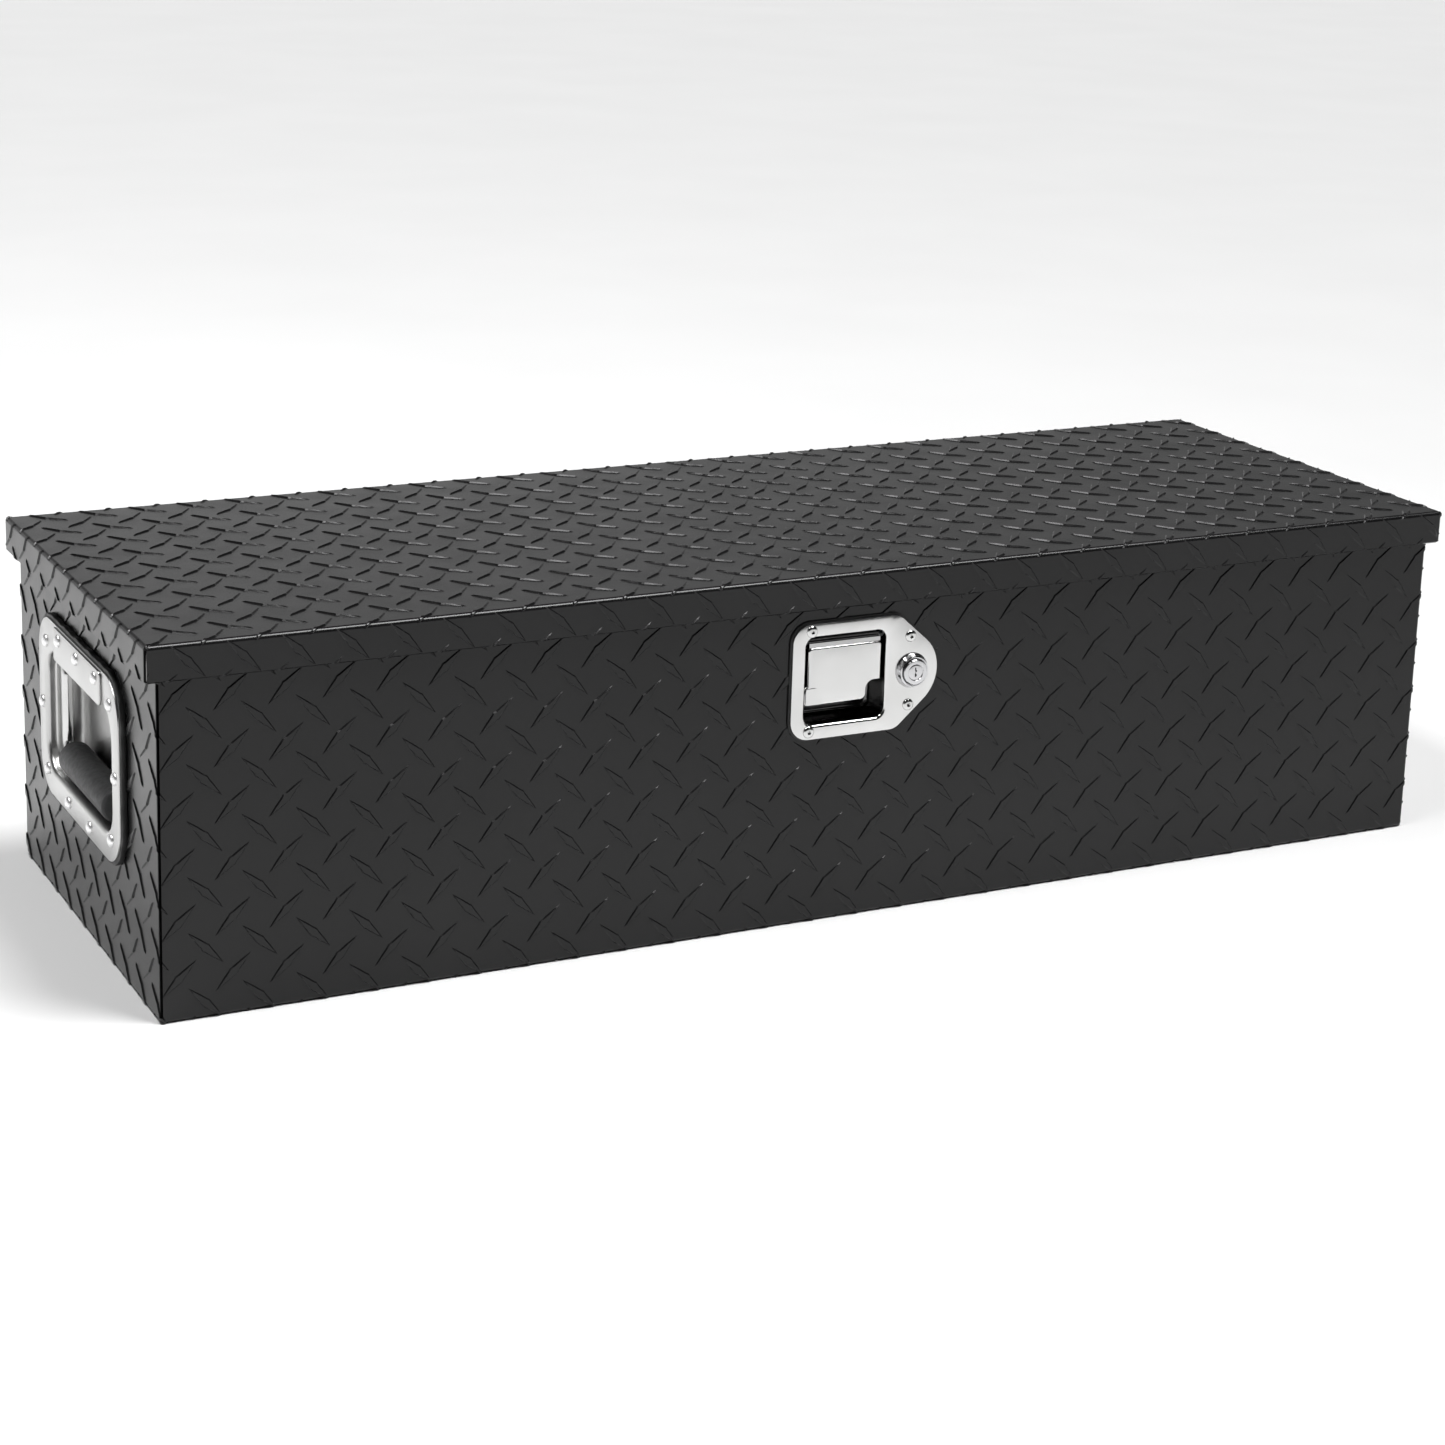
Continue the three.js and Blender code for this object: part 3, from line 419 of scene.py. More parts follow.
def swept(bm, place, outline_at, path):
    """A skin through the outlines at each (grow, depth) of a path."""
    return loft(bm, [[place(u, v, depth) for u, v in outline_at(grow)] for grow, depth in path])


def along_x(u, v, s):
    """Places a section in y and z at s along the box."""
    return Vector((s, u, v))


def axes_at(place, depth=0):
    """Directions of u and v at a depth."""
    origin = place(0, 0, depth)
    return (place(1, 0, depth) - origin).normalized(), (place(0, 1, depth) - origin).normalized()


def extruded(bm, section, place, start, end):
    """A closed section carried straight from start to end; place gives a point for (u, v, s)."""
    for row, s in zip(walls(bm, place, section, (start, end)), (start, end)):
        fill(bm, [row], *axes_at(place, s))


def wire(bm, path, across, radius, sides):
    """Round wire along a path of points; across has a direction square to it for each point."""
    last = len(path) - 1
    circle = arc((0, 0), radius, 0, 360 - 360 / sides, sides - 1)
    loops = []
    for i, (point, normal) in enumerate(zip(path, across)):
        run = (path[min(i + 1, last)] - path[max(i - 1, 0)]).normalized()
        side = normal.cross(run)
        loops.append([point + side * a + normal * b for a, b in circle])
    rows = loft(bm, loops)
    bm.faces.new(rows[0])
    bm.faces.new(rows[-1])


def softened(points, radius, steps=3):
    """The corners of a closed outline rounded to a radius, or to less where a side is short."""
    made = []
    count = len(points)
    for i, corner in enumerate(points):
        corner = Vector(corner)
        before = Vector(points[i - 1]) - corner
        after = Vector(points[(i + 1) % count]) - corner
        reach = min(radius, before.length / 2.2, after.length / 2.2)
        start = corner + before.normalized() * reach
        end = corner + after.normalized() * reach
        for k in range(steps + 1):
            t = k / steps
            made.append(tuple(start * (1 - t) ** 2 + corner * 2 * t * (1 - t) + end * t * t))
    return made


def slab(bm, outline_at, place, front, back, edge, holes=()):
    """A plate with rounded edges. outline_at(grow) is its outline, and place gives (u, v, depth)."""
    path = [(-edge, front), (-0.3 * edge, front + 0.3 * edge), (0, front + edge)]
    path += [(0, back - edge), (-0.3 * edge, back - 0.3 * edge), (-edge, back)]
    rows = swept(bm, place, outline_at, path)
    sides = [walls(bm, place, hole, (front, back)) for hole in holes]
    for end in (0, -1):
        fill(bm, [rows[end], *(side[end] for side in sides)], *axes_at(place))


def carried(material, slot, width, *nodes):
    """CAD nodes that stay: softened edges, smooth faces and a finish."""
    for name in nodes:
        obj = frame["nodes"][name]
        weld = obj.modifiers.new("weld", "WELD")
        weld.merge_threshold = 0.005 * MM
        bevel = obj.modifiers.new("bevel", "BEVEL")
        bevel.width = width
        bevel.segments = 2
        bevel.limit_method = "ANGLE"
        bevel.angle_limit = math.radians(40)
        bevel.harden_normals = True
        obj.data.shade_smooth()
        obj.data.materials.clear()
        obj.data.materials.append(material)


# ---- Tread plate ----


def between(table, fraction):
    """Half width of a diamond at a fraction of its half length, in metres."""
    for (t0, w0), (t1, w1) in zip(table, table[1:]):
        if fraction <= t1:
            return (w0 + (w1 - w0) * (fraction - t0) / (t1 - t0)) * MM
    return 0.0


def diamond_height(along, across):
    """Height of a diamond over the sheet, at a place measured along it and across it."""
    t = abs(along) / DIAMOND_HALF
    base = between(DIAMOND_BASE, t)
    if t >= 1 or abs(across) >= base:
        return 0.0
    top = DIAMOND_HEIGHT * (1 - 0.3 * t * t)
    crest_end = DIAMOND_CREST[-1][0]
    if t > crest_end:
        return top * (1 - t) / (1 - crest_end) * (1 - abs(across) / base)
    crest = between(DIAMOND_CREST, t)
    if abs(across) <= crest:
        return top
    return top * (base - abs(across)) / (base - crest)


def diamond_loop(table):
    """Outline of a diamond from a table, as pairs of along and across."""
    half = table[:0:-1] + [(-t, w) for t, w in table]
    loop = half + [(t, -w) for t, w in half[-2:0:-1]]
    return [(t * DIAMOND_HALF, w * MM) for t, w in loop]


DIAMOND_LOOPS = [diamond_loop(DIAMOND_BASE), diamond_loop(DIAMOND_CREST)]


class Lattice:
    """Two families of diamonds that lean opposite ways, half a pitch apart both ways."""

    def __init__(self, u, v, pitch_u, pitch_v, lean):
        self.start = (u, v)
        self.pitch = (pitch_u, pitch_v)
        self.leans = (lean, -lean)
        self.kept = set()

    def centre(self, family, *counts):
        """Centre of a diamond of one family, from its counts along u and v."""
        return [s + (n + family / 2) * p for s, n, p in zip(self.start, counts, self.pitch)]

    def local(self, family, i, j, u, v):
        """A place measured along a diamond and across it."""
        lean = self.leans[family]
        cu, cv = self.centre(family, i, j)
        return ((u - cu) + lean * (v - cv)) * DIAGONAL, ((v - cv) - lean * (u - cu)) * DIAGONAL

    def loops(self, u0, u1, v0, v1, blanks):
        """Outlines of all diamonds that reach into a region and don't lie in a blank."""
        spans = []
        for start, pitch, low, high in zip(self.start, self.pitch, (u0, v0), (u1, v1)):
            first = math.floor((low - DIAMOND_HALF - start) / pitch) - 1
            last = math.ceil((high + DIAMOND_HALF - start) / pitch)
            spans.append(range(first, last + 1))
        reach = DIAMOND_HALF * DIAMOND_REACH
        for family, lean in enumerate(self.leans):
            for i, j in product(*spans):
                cu, cv = self.centre(family, i, j)
                blank = any(abs(cu - bu) < hu and abs(cv - bv) < hv for bu, bv, hu, hv in blanks)
                if blank or not (u0 - reach <= cu <= u1 + reach and v0 - reach <= cv <= v1 + reach):
                    continue
                self.kept.add((family, i, j))
                for loop in DIAMOND_LOOPS:
                    yield [(cu + (a - lean * b) * DIAGONAL, cv + (lean * a + b) * DIAGONAL) for a, b in loop]

    def height(self, u, v):
        best = 0.0
        for family in (0, 1):
            i = round((u - self.start[0]) / self.pitch[0] - family / 2)
            j = round((v - self.start[1]) / self.pitch[1] - family / 2)
            if (family, i, j) in self.kept:
                best = max(best, diamond_height(*self.local(family, i, j, u, v)))
        return best


class Panel:
    """A rectangle of sheet in its own (u, v), with fold lines, holes, diamonds and a place in space.
    place(u, v) gives the point on the plain sheet and the direction out of it."""

    def __init__(self, span, place, lattice=None, u_lines=(), v_lines=(), holes=(), blanks=(), fades=(),
                 eased=0.0):
        self.u0, self.u1, self.v0, self.v1 = span
        self.place = place
        self.lattice = lattice
        self.u_lines = u_lines
        self.v_lines = [*v_lines, self.v1 - eased] if eased else v_lines
        self.holes = [list(hole) for hole in holes]
        self.blanks = blanks
        self.fades = fades
        self.eased = eased

    def fold_lines(self):
        """Ends of the fold lines across the whole rectangle."""
        upright = [((u, self.v0), (u, self.v1)) for u in self.u_lines]
        return upright + [((self.u0, v), (self.u1, v)) for v in self.v_lines]

    def covers(self, point):
        tiny = 1e-9
        u, v = point
        if not (self.u0 - tiny < u < self.u1 + tiny and self.v0 - tiny < v < self.v1 + tiny):
            return False
        return not any(contains([hole], point) for hole in self.holes)

    def rise(self, u, v):
        """Height of the tread, which runs out to nothing at the fade lines, less the eased edge."""
        drop = max(0.0, v - self.v1 + self.eased) * EASE_SLOPE
        if self.lattice is None:
            return -drop
        share = 1.0
        for axis, value in self.fades:
            share *= min(1.0, abs((u, v)[axis] - value) / FADE)
        return self.lattice.height(u, v) * share - drop

    def cells(self, points, edges):
        """Triangles of the sheet itself between its points, edges and fold lines."""
        for line in self.fold_lines():
            edges.append((len(points), len(points) + 1))
            points += line
        made = triangulate(points, edges)
        verts = [tuple(p) for p in made[0]]
        tris = []
        for tri in made[2]:
            middle = tuple(sum(verts[i][k] for i in tri) / 3 for k in (0, 1))
            if self.covers(middle):
                tris.append(tuple(tri))
        return verts, tris

    def outer(self):
        """The outside of the sheet with its holes and diamonds."""
        points = [(self.u0, self.v0), (self.u1, self.v0), (self.u1, self.v1), (self.u0, self.v1)]
        edges = ring_edges(0, len(points))
        loops = list(self.holes)
        if self.lattice:
            loops += self.lattice.loops(self.u0, self.u1, self.v0, self.v1, self.blanks)
        for loop in loops:
            edges += ring_edges(len(points), len(loop))
            points += loop
        return self.cells(points, edges)

    def inner(self, verts, tris):
        """The smooth inside of the sheet, which shares its edges with the outside."""
        uses = Counter(tuple(sorted(pair)) for tri in tris for pair in zip(tri, tri[1:] + tri[:1]))
        rim = [pair for pair, count in uses.items() if count == 1]
        used = sorted({i for pair in rim for i in pair})
        new = {old: i for i, old in enumerate(used)}
        return self.cells([verts[i] for i in used], [(new[a], new[b]) for a, b in rim])

    def turned_over(self):
        """True if (u, v) is left-handed as seen from outside."""
        u, v, step = (self.u0 + self.u1) / 2, self.v1 - 1 * MM, 0.1 * MM
        here, out = self.place(u, v)
        du = self.place(u + step, v)[0] - here
        dv = self.place(u, v - step)[0] - here
        return du.cross(dv).dot(out) > 0


OUTSIDE, INSIDE, RIM = range(3)


def sheet_faces(bm, layers, panel, verts, tris, side, offset_of):
    """Adds one face of a panel to the mesh, with its exact directions kept in layers."""
    kind, outward, height, inner = layers
    flip = panel.turned_over() != (side == INSIDE)
    made = []
    for u, v in verts:
        point, out = panel.place(u, v)
        rise = offset_of(u, v)
        vert = bm.verts.new(point + out * rise)
        vert[outward] = out
        vert[height] = rise
        vert[inner] = point - out * SHEET
        made.append(vert)
    for tri in tris:
        corners = [made[i] for i in (reversed(tri) if flip else tri)]
        bm.faces.new(corners)[kind] = side


def folded_sheet(name, panels, body, nodes):
    """A closed solid of tread plate out of panels that share their edges."""
    bm = bmesh.new()
    layers = (
        bm.faces.layers.int.new("kind"),
        bm.verts.layers.float_vector.new("outward"),
        bm.verts.layers.float.new("height"),
        bm.verts.layers.float_vector.new("inner"),
    )
    kind, outward, _, inner = layers
    insides = []
    for panel in panels:
        verts, tris = panel.outer()
        sheet_faces(bm, layers, panel, verts, tris, OUTSIDE, panel.rise)
        insides.append((panel, *panel.inner(verts, tris)))
    bmesh.ops.remove_doubles(bm, verts=bm.verts, dist=JOINED)
    below = {}
    for edge in [e for e in bm.edges if e.is_boundary]:
        loop = edge.link_loops[0]
        first, second = loop.vert, loop.link_loop_next.vert
        for vert in (first, second):
            if vert not in below:
                below[vert] = bm.verts.new(vert[inner])
                below[vert][outward] = vert[outward]
        bm.faces.new((second, first, below[first], below[second]))[kind] = RIM
    for panel, verts, tris in insides:
        sheet_faces(bm, layers, panel, verts, tris, INSIDE, lambda u, v: -SHEET)
    bmesh.ops.remove_doubles(bm, verts=bm.verts, dist=JOINED)
    mesh = mesh_of(bm, name, BLACK)
    mesh.shade_smooth()
    exact_normals(mesh)
    ridden(name, mesh, body, nodes)


def exact_normals(mesh):
    """Shades the sheet by its true shape, and the flanks of the diamonds and the rims flat."""
    count = len(mesh.vertices)
    outward = np.zeros(count * 3)
    mesh.attributes["outward"].data.foreach_get("vector", outward)
    outward = outward.reshape(-1, 3)
    height = np.zeros(count)
    mesh.attributes["height"].data.foreach_get("value", height)
    kinds = mesh.attributes["kind"].data
    normals = []
    for face in mesh.polygons:
        side = kinds[face.index].value
        heights = height[list(face.vertices)]
        slope = heights.max() - heights.min() > 0.2 * DIAMOND_HEIGHT
        for i in face.vertices:
            if side == RIM or (side == OUTSIDE and slope):
                normals.append(tuple(face.normal))
            else:
                normals.append(tuple(outward[i] if side == OUTSIDE else -outward[i]))
    mesh.normals_split_custom_set(normals)
    for layer in ("kind", "outward", "height", "inner"):
        mesh.attributes.remove(mesh.attributes[layer])


class Tray:
    """An open box of folded sheet: a flat bottom or top, four walls and rounded corners.
    opening is 1 where the walls rise from the flat and -1 where they hang from it."""

    def __init__(self, half_x, half_y, flat_z, opening, wall):
        self.base = (half_x - BEND, half_y - BEND)
        self.flat_z = flat_z
        self.opening = opening
        self.fold = BEND * RIGHT_ANGLE
        self.depth = self.fold + wall - BEND
        self.steps = [self.fold * (i + 1) / BEND_STEPS for i in range(BEND_STEPS)]

    def flat(self, lattice=None, **more):
        bx, by = self.base
        out = AXIS_Z * -self.opening
        return Panel((-bx, bx, -by, by), lambda u, v: (Vector((u, v, self.flat_z)), out), lattice, **more)

    def wall(self, axis, sign, rounds, lattice=None, **more):
        """A wall that faces along an axis; with rounds it takes both upright corners with it."""
        reach, half = self.base[axis], self.base[1 - axis]
        facing = (AXIS_X, AXIS_Y)[axis] * sign
        along_axis = (AXIS_Y, AXIS_X)[axis]
        end = half + (self.fold if rounds else 0)

        def place(u, v):
            over = max(0.0, abs(u) - half)
            turn = math.copysign(over / BEND, u)
            flat_out = facing * math.cos(turn) + along_axis * math.sin(turn)
            tilt = min(v / BEND, RIGHT_ANGLE)
            climb = max(0.0, v - self.fold)
            out = flat_out * math.sin(tilt) - AXIS_Z * self.opening * math.cos(tilt)
            rise = BEND * (1 - math.cos(tilt)) + climb
            foot = facing * reach + along_axis * max(-half, min(half, u))
            return foot + flat_out * BEND * math.sin(tilt) + AXIS_Z * (self.flat_z + self.opening * rise), out

        u_lines = []
        if rounds:
            for step in [0.0] + self.steps[:-1]:
                u_lines += [half + step, -half - step]
        return Panel((-end, end, 0.0, self.depth), place, lattice, u_lines, self.steps, **more)

    def corner_seams(self, axis, v0, v1):
        """Slots where the sheets meet at the two upright corners of a wall that faces along an axis."""
        near = self.base[1 - axis] + SEAM_START
        far = near + SEAM_WIDTH
        return [[(s * near, v0), (s * far, v0), (s * far, v1), (s * near, v1)] for s in (-1, 1)]


# Places of the diamonds: the first one's distance from a corner, and the pitches.
TUB_PITCH = (35.3 * MM, 36.9 * MM)
TUB_FIRST = (11.7 * MM, 23 * MM)
LID_PITCH = (35.3 * MM, 37.4 * MM)
LID_FIRST = (27 * MM, 12.5 * MM)


def tub_sheets():
    """Folded front, floor and back in one sheet, and an end wall at each end."""
    tray = Tray(TUB_HALF_X, TUB_HALF_Y, 0.0, 1, RIM_Z)
    bx, by = tray.base
    lift = tray.fold - BEND

    def lowered(loop):
        return [(u, v + lift) for u, v in loop]

    first_u = -TUB_HALF_X + TUB_FIRST[0]
    first_v = RIM_Z + lift - TUB_FIRST[1]
    round_corner = bx + by + tray.fold
    front = Lattice(first_u, first_v, *TUB_PITCH, 1)
    back = Lattice(first_u, first_v, *TUB_PITCH, -1)
    right = Lattice(first_u - round_corner, first_v, *TUB_PITCH, 1)
    left = Lattice(-first_u - round_corner, first_v, *TUB_PITCH, -1)

    latch_blank = (LATCH_X, LATCH_Z + lift, 40 * MM, 26 * MM)
    pan = lowered(rounded_rectangle(PAN_HALF + PAN_ROOM, PAN_HALF + PAN_ROOM, PAN_CORNER, (PAN_X, LATCH_Z)))
    lock = lowered(rounded_rectangle(11.4 * MM, 11.4 * MM, 11.3 * MM, (LOCK_X, LATCH_Z)))
    panels = [
        tray.flat(),
        tray.wall(1, -1, False, front, holes=[pan, lock], blanks=[latch_blank], fades=[(1, 0.0)]),
        tray.wall(1, 1, False, back, fades=[(0, -bx), (0, bx), (1, 0.0)]),
    ]
    folded_sheet("tub_skin", panels, "tub", ["body_shell"])
    for name, sign, lattice in (("left", -1, left), ("right", 1, right)):
        dish = dish_outline(PAN_ROOM)
        blank = (0, HANDLE_Z + lift, HANDLE_HALF_Y - 12 * MM, HANDLE_HALF_Z - 12 * MM)
        seams = tray.corner_seams(0, tray.fold + 1 * MM, tray.depth - 14 * MM)
        wall = tray.wall(0, sign, True, lattice, holes=[lowered(dish), *seams], blanks=[blank],
                         fades=[(0, by + tray.fold), (1, 0.0)])
        folded_sheet(f"end_skin_{name}", [wall], "tub", [f"end_panel_{name}"])
    tub_rims()


def tub_rims():
    """Turned-in rims with their lips, on top of the four walls."""
    width, lip = 18.4 * MM, 8 * MM
    section = [(0, 0), (width, 0), (width, -lip), (width - SHEET, -lip), (width - SHEET, -SHEET), (0, -SHEET)]
    section = softened(section, 1.3 * MM)
    bm = bmesh.new()
    end_x = TUB_HALF_X - SHEET
    end_y = TUB_HALF_Y - SHEET - width
    for sign in (-1, 1):
        wall_y, wall_x = sign * (TUB_HALF_Y - SHEET), sign * (TUB_HALF_X - SHEET)
        extruded(bm, section, lambda u, v, s: Vector((s, wall_y - sign * u, RIM_Z + v)), -end_x, end_x)
        extruded(bm, section, lambda u, v, s: Vector((wall_x - sign * u, s, RIM_Z + v)), -end_y, end_y)
    piece("tub_rim", bm, "tub", BLACK)


def lid_sheet():
    half_x, half_y = LID_HIGH.x, LID_HIGH.y
    tray = Tray(half_x, half_y, LID_HIGH.z, -1, LID_HIGH.z - LID_LOW.z)
    bx, by = tray.base
    x = -half_x + LID_FIRST[0]
    y = -by - tray.depth + LID_FIRST[1]
    px, py = LID_PITCH
    ends = [(0, by + tray.fold), (0, -by - tray.fold)]
    sides = [(0, bx), (0, -bx)]
    ease = SHEET / (EASE_SLOPE + 0.1)
    seams = tray.corner_seams(0, 0.9 * tray.fold, tray.depth - 1.4 * MM)
    panels = [
        tray.flat(Lattice(x, y, px, py, -1)),
        tray.wall(1, -1, False, Lattice(x, -by - y, px, py, 1), fades=sides, eased=ease),
        tray.wall(1, 1, False, Lattice(x, y - by, px, py, -1), fades=sides, eased=ease),
        tray.wall(0, -1, True, Lattice(y, -bx - x, py, px, 1), fades=ends, eased=ease, holes=seams),
        tray.wall(0, 1, True, Lattice(y, x - bx, py, px, -1), fades=ends, eased=ease, holes=seams),
    ]
    folded_sheet("lid_skin", panels, "lid", ["lid_shell"])


# ---- Latch ----

LATCH_LOW, LATCH_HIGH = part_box("latch_faceplate")
LATCH_X = (LATCH_LOW.x + LATCH_HIGH.x) / 2
LATCH_Z = (LATCH_LOW.z + LATCH_HIGH.z) / 2
LATCH_FACE = LATCH_LOW.y
LATCH_HALF_X = (LATCH_HIGH.x - LATCH_LOW.x) / 2
LATCH_HALF_Z = (LATCH_HIGH.z - LATCH_LOW.z) / 2
PAN_X = LATCH_X - 15.2 * MM
PAN_HALF = 31 * MM
PAN_CORNER = 7 * MM
PAN_DEPTH = 24 * MM
PADDLE_FRONT = 2 * MM
ARMS_X = (PAN_X - 9 * MM, PAN_X + 9 * MM)
LOCK_X = centre_of("lock_plug").x


def front_place(u, v, depth):
    """A point on the latch: x, z and the depth behind the face of its plate."""
    return Vector((u, LATCH_FACE + depth, v))


def latch_outline(grow):
    """D shape: straight left side, round corners, slanted right side and a round tip."""
    tip = 29 * MM
    tip_radius = tip + grow
    tangent = 48.5
    corner = 14 * MM + grow
    slant = 12 * MM + grow
    left = LATCH_X - LATCH_HALF_X - grow
    half = LATCH_HALF_Z + grow
    tip_x = LATCH_X + LATCH_HALF_X - tip
    angle = math.radians(tangent)
    slant_x = tip_x + ((tip_radius - slant) - (half - slant) * math.sin(angle)) / math.cos(angle)
    points = arc((slant_x, LATCH_Z - half + slant), slant, -90, -tangent, 8)
    points += arc((tip_x, LATCH_Z), tip_radius, -tangent, tangent, 24)
    points += arc((slant_x, LATCH_Z + half - slant), slant, tangent, 90, 8)
    points += arc((left + corner, LATCH_Z + half - corner), corner, 90, 180, 10)
    points += arc((left + corner, LATCH_Z - half + corner), corner, 180, 270, 10)
    return points


def pan_outline(grow, _depth=0):
    """Outline of the pan, the same at every depth."""
    return rounded_rectangle(PAN_HALF + grow, PAN_HALF + grow, PAN_CORNER + grow, (PAN_X, LATCH_Z), 8)


def pressed_plate(bm, outline_at, opening_at, place, sheet, edge, roll, fillet, depth,
                  steps=(), holes=(), floor_holes=()):
    """A plate with rounded edges and a pan pressed into it, as one closed shell.
    opening_at(grow, depth) is the outline of the pan's wall, and steps are depths where it changes."""
    edge_path = [(-edge, 0), (-0.3 * edge, 0.3 * edge), (0, edge), (0, sheet)]
    rim = swept(bm, place, outline_at, edge_path)

    def pan(offset):
        path = arc((roll, roll), roll - offset, 270, 180, 6) + [(offset, d) for d in steps]
        path += arc((-fillet, depth - fillet), fillet + offset, 0, 90, 8)
        return loft(bm, [[place(u, v, d) for u, v in opening_at(grow, d)] for grow, d in path])

    front, back = pan(0), pan(sheet)
    through = [walls(bm, place, hole, (0, sheet)) for hole in holes]
    below = [walls(bm, place, hole, (depth, depth + sheet)) for hole in floor_holes]
    for end, face in ((0, front), (-1, back)):
        fill(bm, [rim[end], face[0], *(hole[end] for hole in through)], *axes_at(place))
        fill(bm, [face[-1], *(hole[end] for hole in below)], *axes_at(place))


def latch_plate():
    """Face plate with its pan, which has a slot for each arm of the paddle in its floor."""
    lock = rounded_rectangle(11.2 * MM, 11.2 * MM, 11.1 * MM, (LOCK_X, LATCH_Z))
    slot_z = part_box("paddle_pin")[0].z - 5.7 * MM
    slots = [rounded_rectangle(2.5 * MM, 9.5 * MM, 0.8 * MM, (x, slot_z), 2) for x in ARMS_X]
    bm = bmesh.new()
    pressed_plate(bm, latch_outline, pan_outline, front_place, sheet=1.3 * MM, edge=0.5 * MM, roll=2.2 * MM,
                  fillet=3 * MM, depth=PAN_DEPTH, holes=[lock], floor_holes=slots)
    piece("latch_plate", bm, "tub", PRESSED_SHADED, ["latch_faceplate"])


def latch_seal():
    low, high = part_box("latch_gasket")
    opening = rounded_rectangle(PAN_HALF + 1.6 * MM, PAN_HALF + 1.6 * MM, PAN_CORNER, (PAN_X, LATCH_Z), 4)
    bm = bmesh.new()
    slab(bm, lambda grow: latch_outline(grow + 1.2 * MM), front_place,
         low.y - LATCH_FACE, high.y - LATCH_FACE + 0.25 * MM, 0.3 * MM, [opening])
    piece("latch_seal", bm, "tub", GASKET, ["latch_gasket"])


def latch_rivets():
    """Blind rivets: low dome, hollow stem, shank and the bulb behind the wall."""
    dome_radius, dome_height = 2.7, 1.45
    for i in range(1, 5):
        x, z = centre_of(f"latch_rivet_{i}").xz
        centre = Vector((x, LATCH_FACE - 0.05 * MM, z))
        tail = centre.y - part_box(f"latch_rivet_{i}")[1].y
        profile = [(0, -1.8), (1.15, -1.8), (1.25, 1.2), (1.5, 1.35)]
        profile += [(r, dome_height * h / dome_radius) for r, h in arc((1.5, 0), dome_radius, 90, 0, 5)]
        profile += [(4.2, -0.1), (2.4, -0.1), (2.4, -3.4), (3.4, -4), (3.1, -6.5)]
        bm = bmesh.new()
        turned(bm, in_metres(profile) + [(0, tail)], centre, -AXIS_Y, 20)
        piece(f"latch_blind_rivet_{i}", bm, "tub", POLISHED, [f"latch_rivet_{i}"])


def grown(points, grow):
    """A closed outline in metres that runs anticlockwise, moved outwards."""
    loop = [Vector(p) for p in points]
    made = []
    for i, here in enumerate(loop):
        before = (here - loop[i - 1]).normalized()
        after = (loop[(i + 1) % len(loop)] - here).normalized()
        out = Vector((before.y + after.y, -before.x - after.x)).normalized()
        spread = max(0.6, out.dot(Vector((after.y, -after.x))))
        made.append(tuple(here + out * grow / spread))
    return made


def paddle_outline():
    """Face of the paddle: a tab at lower left and the finger cut-out at lower right."""
    half, top, bottom = 28.3, 23, -17.5
    points = [(14, bottom)]
    points += arc((13.5, bottom + 4), 4, -60, 0, 4)
    points += arc((23.5, -10.5), 6, 180, 90, 6)
    points += [(half, -4.5)]
    points += arc((half - 3, top - 3), 3, 0, 90, 5)
    points += arc((-half + 3, top - 3), 3, 90, 180, 5)
    points += [(-half, -4.2), (-half - 2, -5), (-half - 2, bottom + 1), (-half - 1, bottom)]
    return [(PAN_X + x * MM, LATCH_Z + z * MM) for x, z in points]


def paddle_piece():
    """Paddle pressed from sheet, with its tab, pivot tube, web and the two arms that push the hook."""
    bm = bmesh.new()
    paddle_sheet(bm)
    paddle_works(bm)
    piece("paddle_face", bm, "paddle", PRESSED_SHADED, ["paddle"], 40)


def paddle_sheet(bm):
    """Face with a rolled edge and a flange all round, and the raised tab."""
    sheet, rounding, flange = 1.3 * MM, 1.4 * MM, 11 * MM
    outside = arc((-rounding, rounding), rounding, 270, 360, 4)
    inside = arc((-rounding, rounding), rounding - sheet, 270, 360, 2)
    path = [(g, PADDLE_FRONT + d) for g, d in outside + [(0, flange), (-sheet, flange)] + inside[::-1]]
    outline = paddle_outline()
    rows = swept(bm, front_place, lambda grow: grown(outline, grow), path)
    tab = [(-29.6, -16.9), (-29.6, -5.6), (-21.5, -5.2), (-18.6, -8.2), (-16.6, -13.2), (-16.4, -16.9)]
    tab = softened([(PAN_X + u * MM, LATCH_Z + v * MM) for u, v in tab], 1.6 * MM)
    step = walls(bm, front_place, tab, (PADDLE_FRONT + 0.3 * MM, PADDLE_FRONT - 0.7 * MM))
    for row in (rows[0], rows[-1], *step):
        fill(bm, [row], AXIS_X, AXIS_Z)


def paddle_works(bm):
    """Pivot tube, the web that joins it to the face, and the arms."""
    pivot_y, pivot_z = centre_of("paddle_pin").yz
    reach, bore, outer = 27.3 * MM, 2 * MM, 3.5 * MM
    tube = [(bore, -reach), (outer, -reach), (outer, reach), (bore, reach), (bore, -reach)]
    turned(bm, tube, Vector((PAN_X, pivot_y, pivot_z)), AXIS_X, 24)
    near, far = PADDLE_FRONT + 1 * MM, pivot_y - LATCH_FACE - 2.6 * MM
    web = [(near, pivot_z - 3 * MM), (near, pivot_z), (far, pivot_z), (far, pivot_z - 3 * MM)]
    extruded(bm, web, lambda u, v, s: front_place(s, v, u), PAN_X - reach, PAN_X + reach)
    arm_tip = (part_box("paddle")[1].y - 3 * MM, pivot_z - 10 * MM)
    arm = [(pivot_y, pivot_z - 3.2 * MM)] + arc(arm_tip, 3 * MM, -90, 90, 8) + [(pivot_y, pivot_z + 3 * MM)]
    for x in ARMS_X:
        extruded(bm, arm, along_x, x - 1.25 * MM, x + 1.25 * MM)


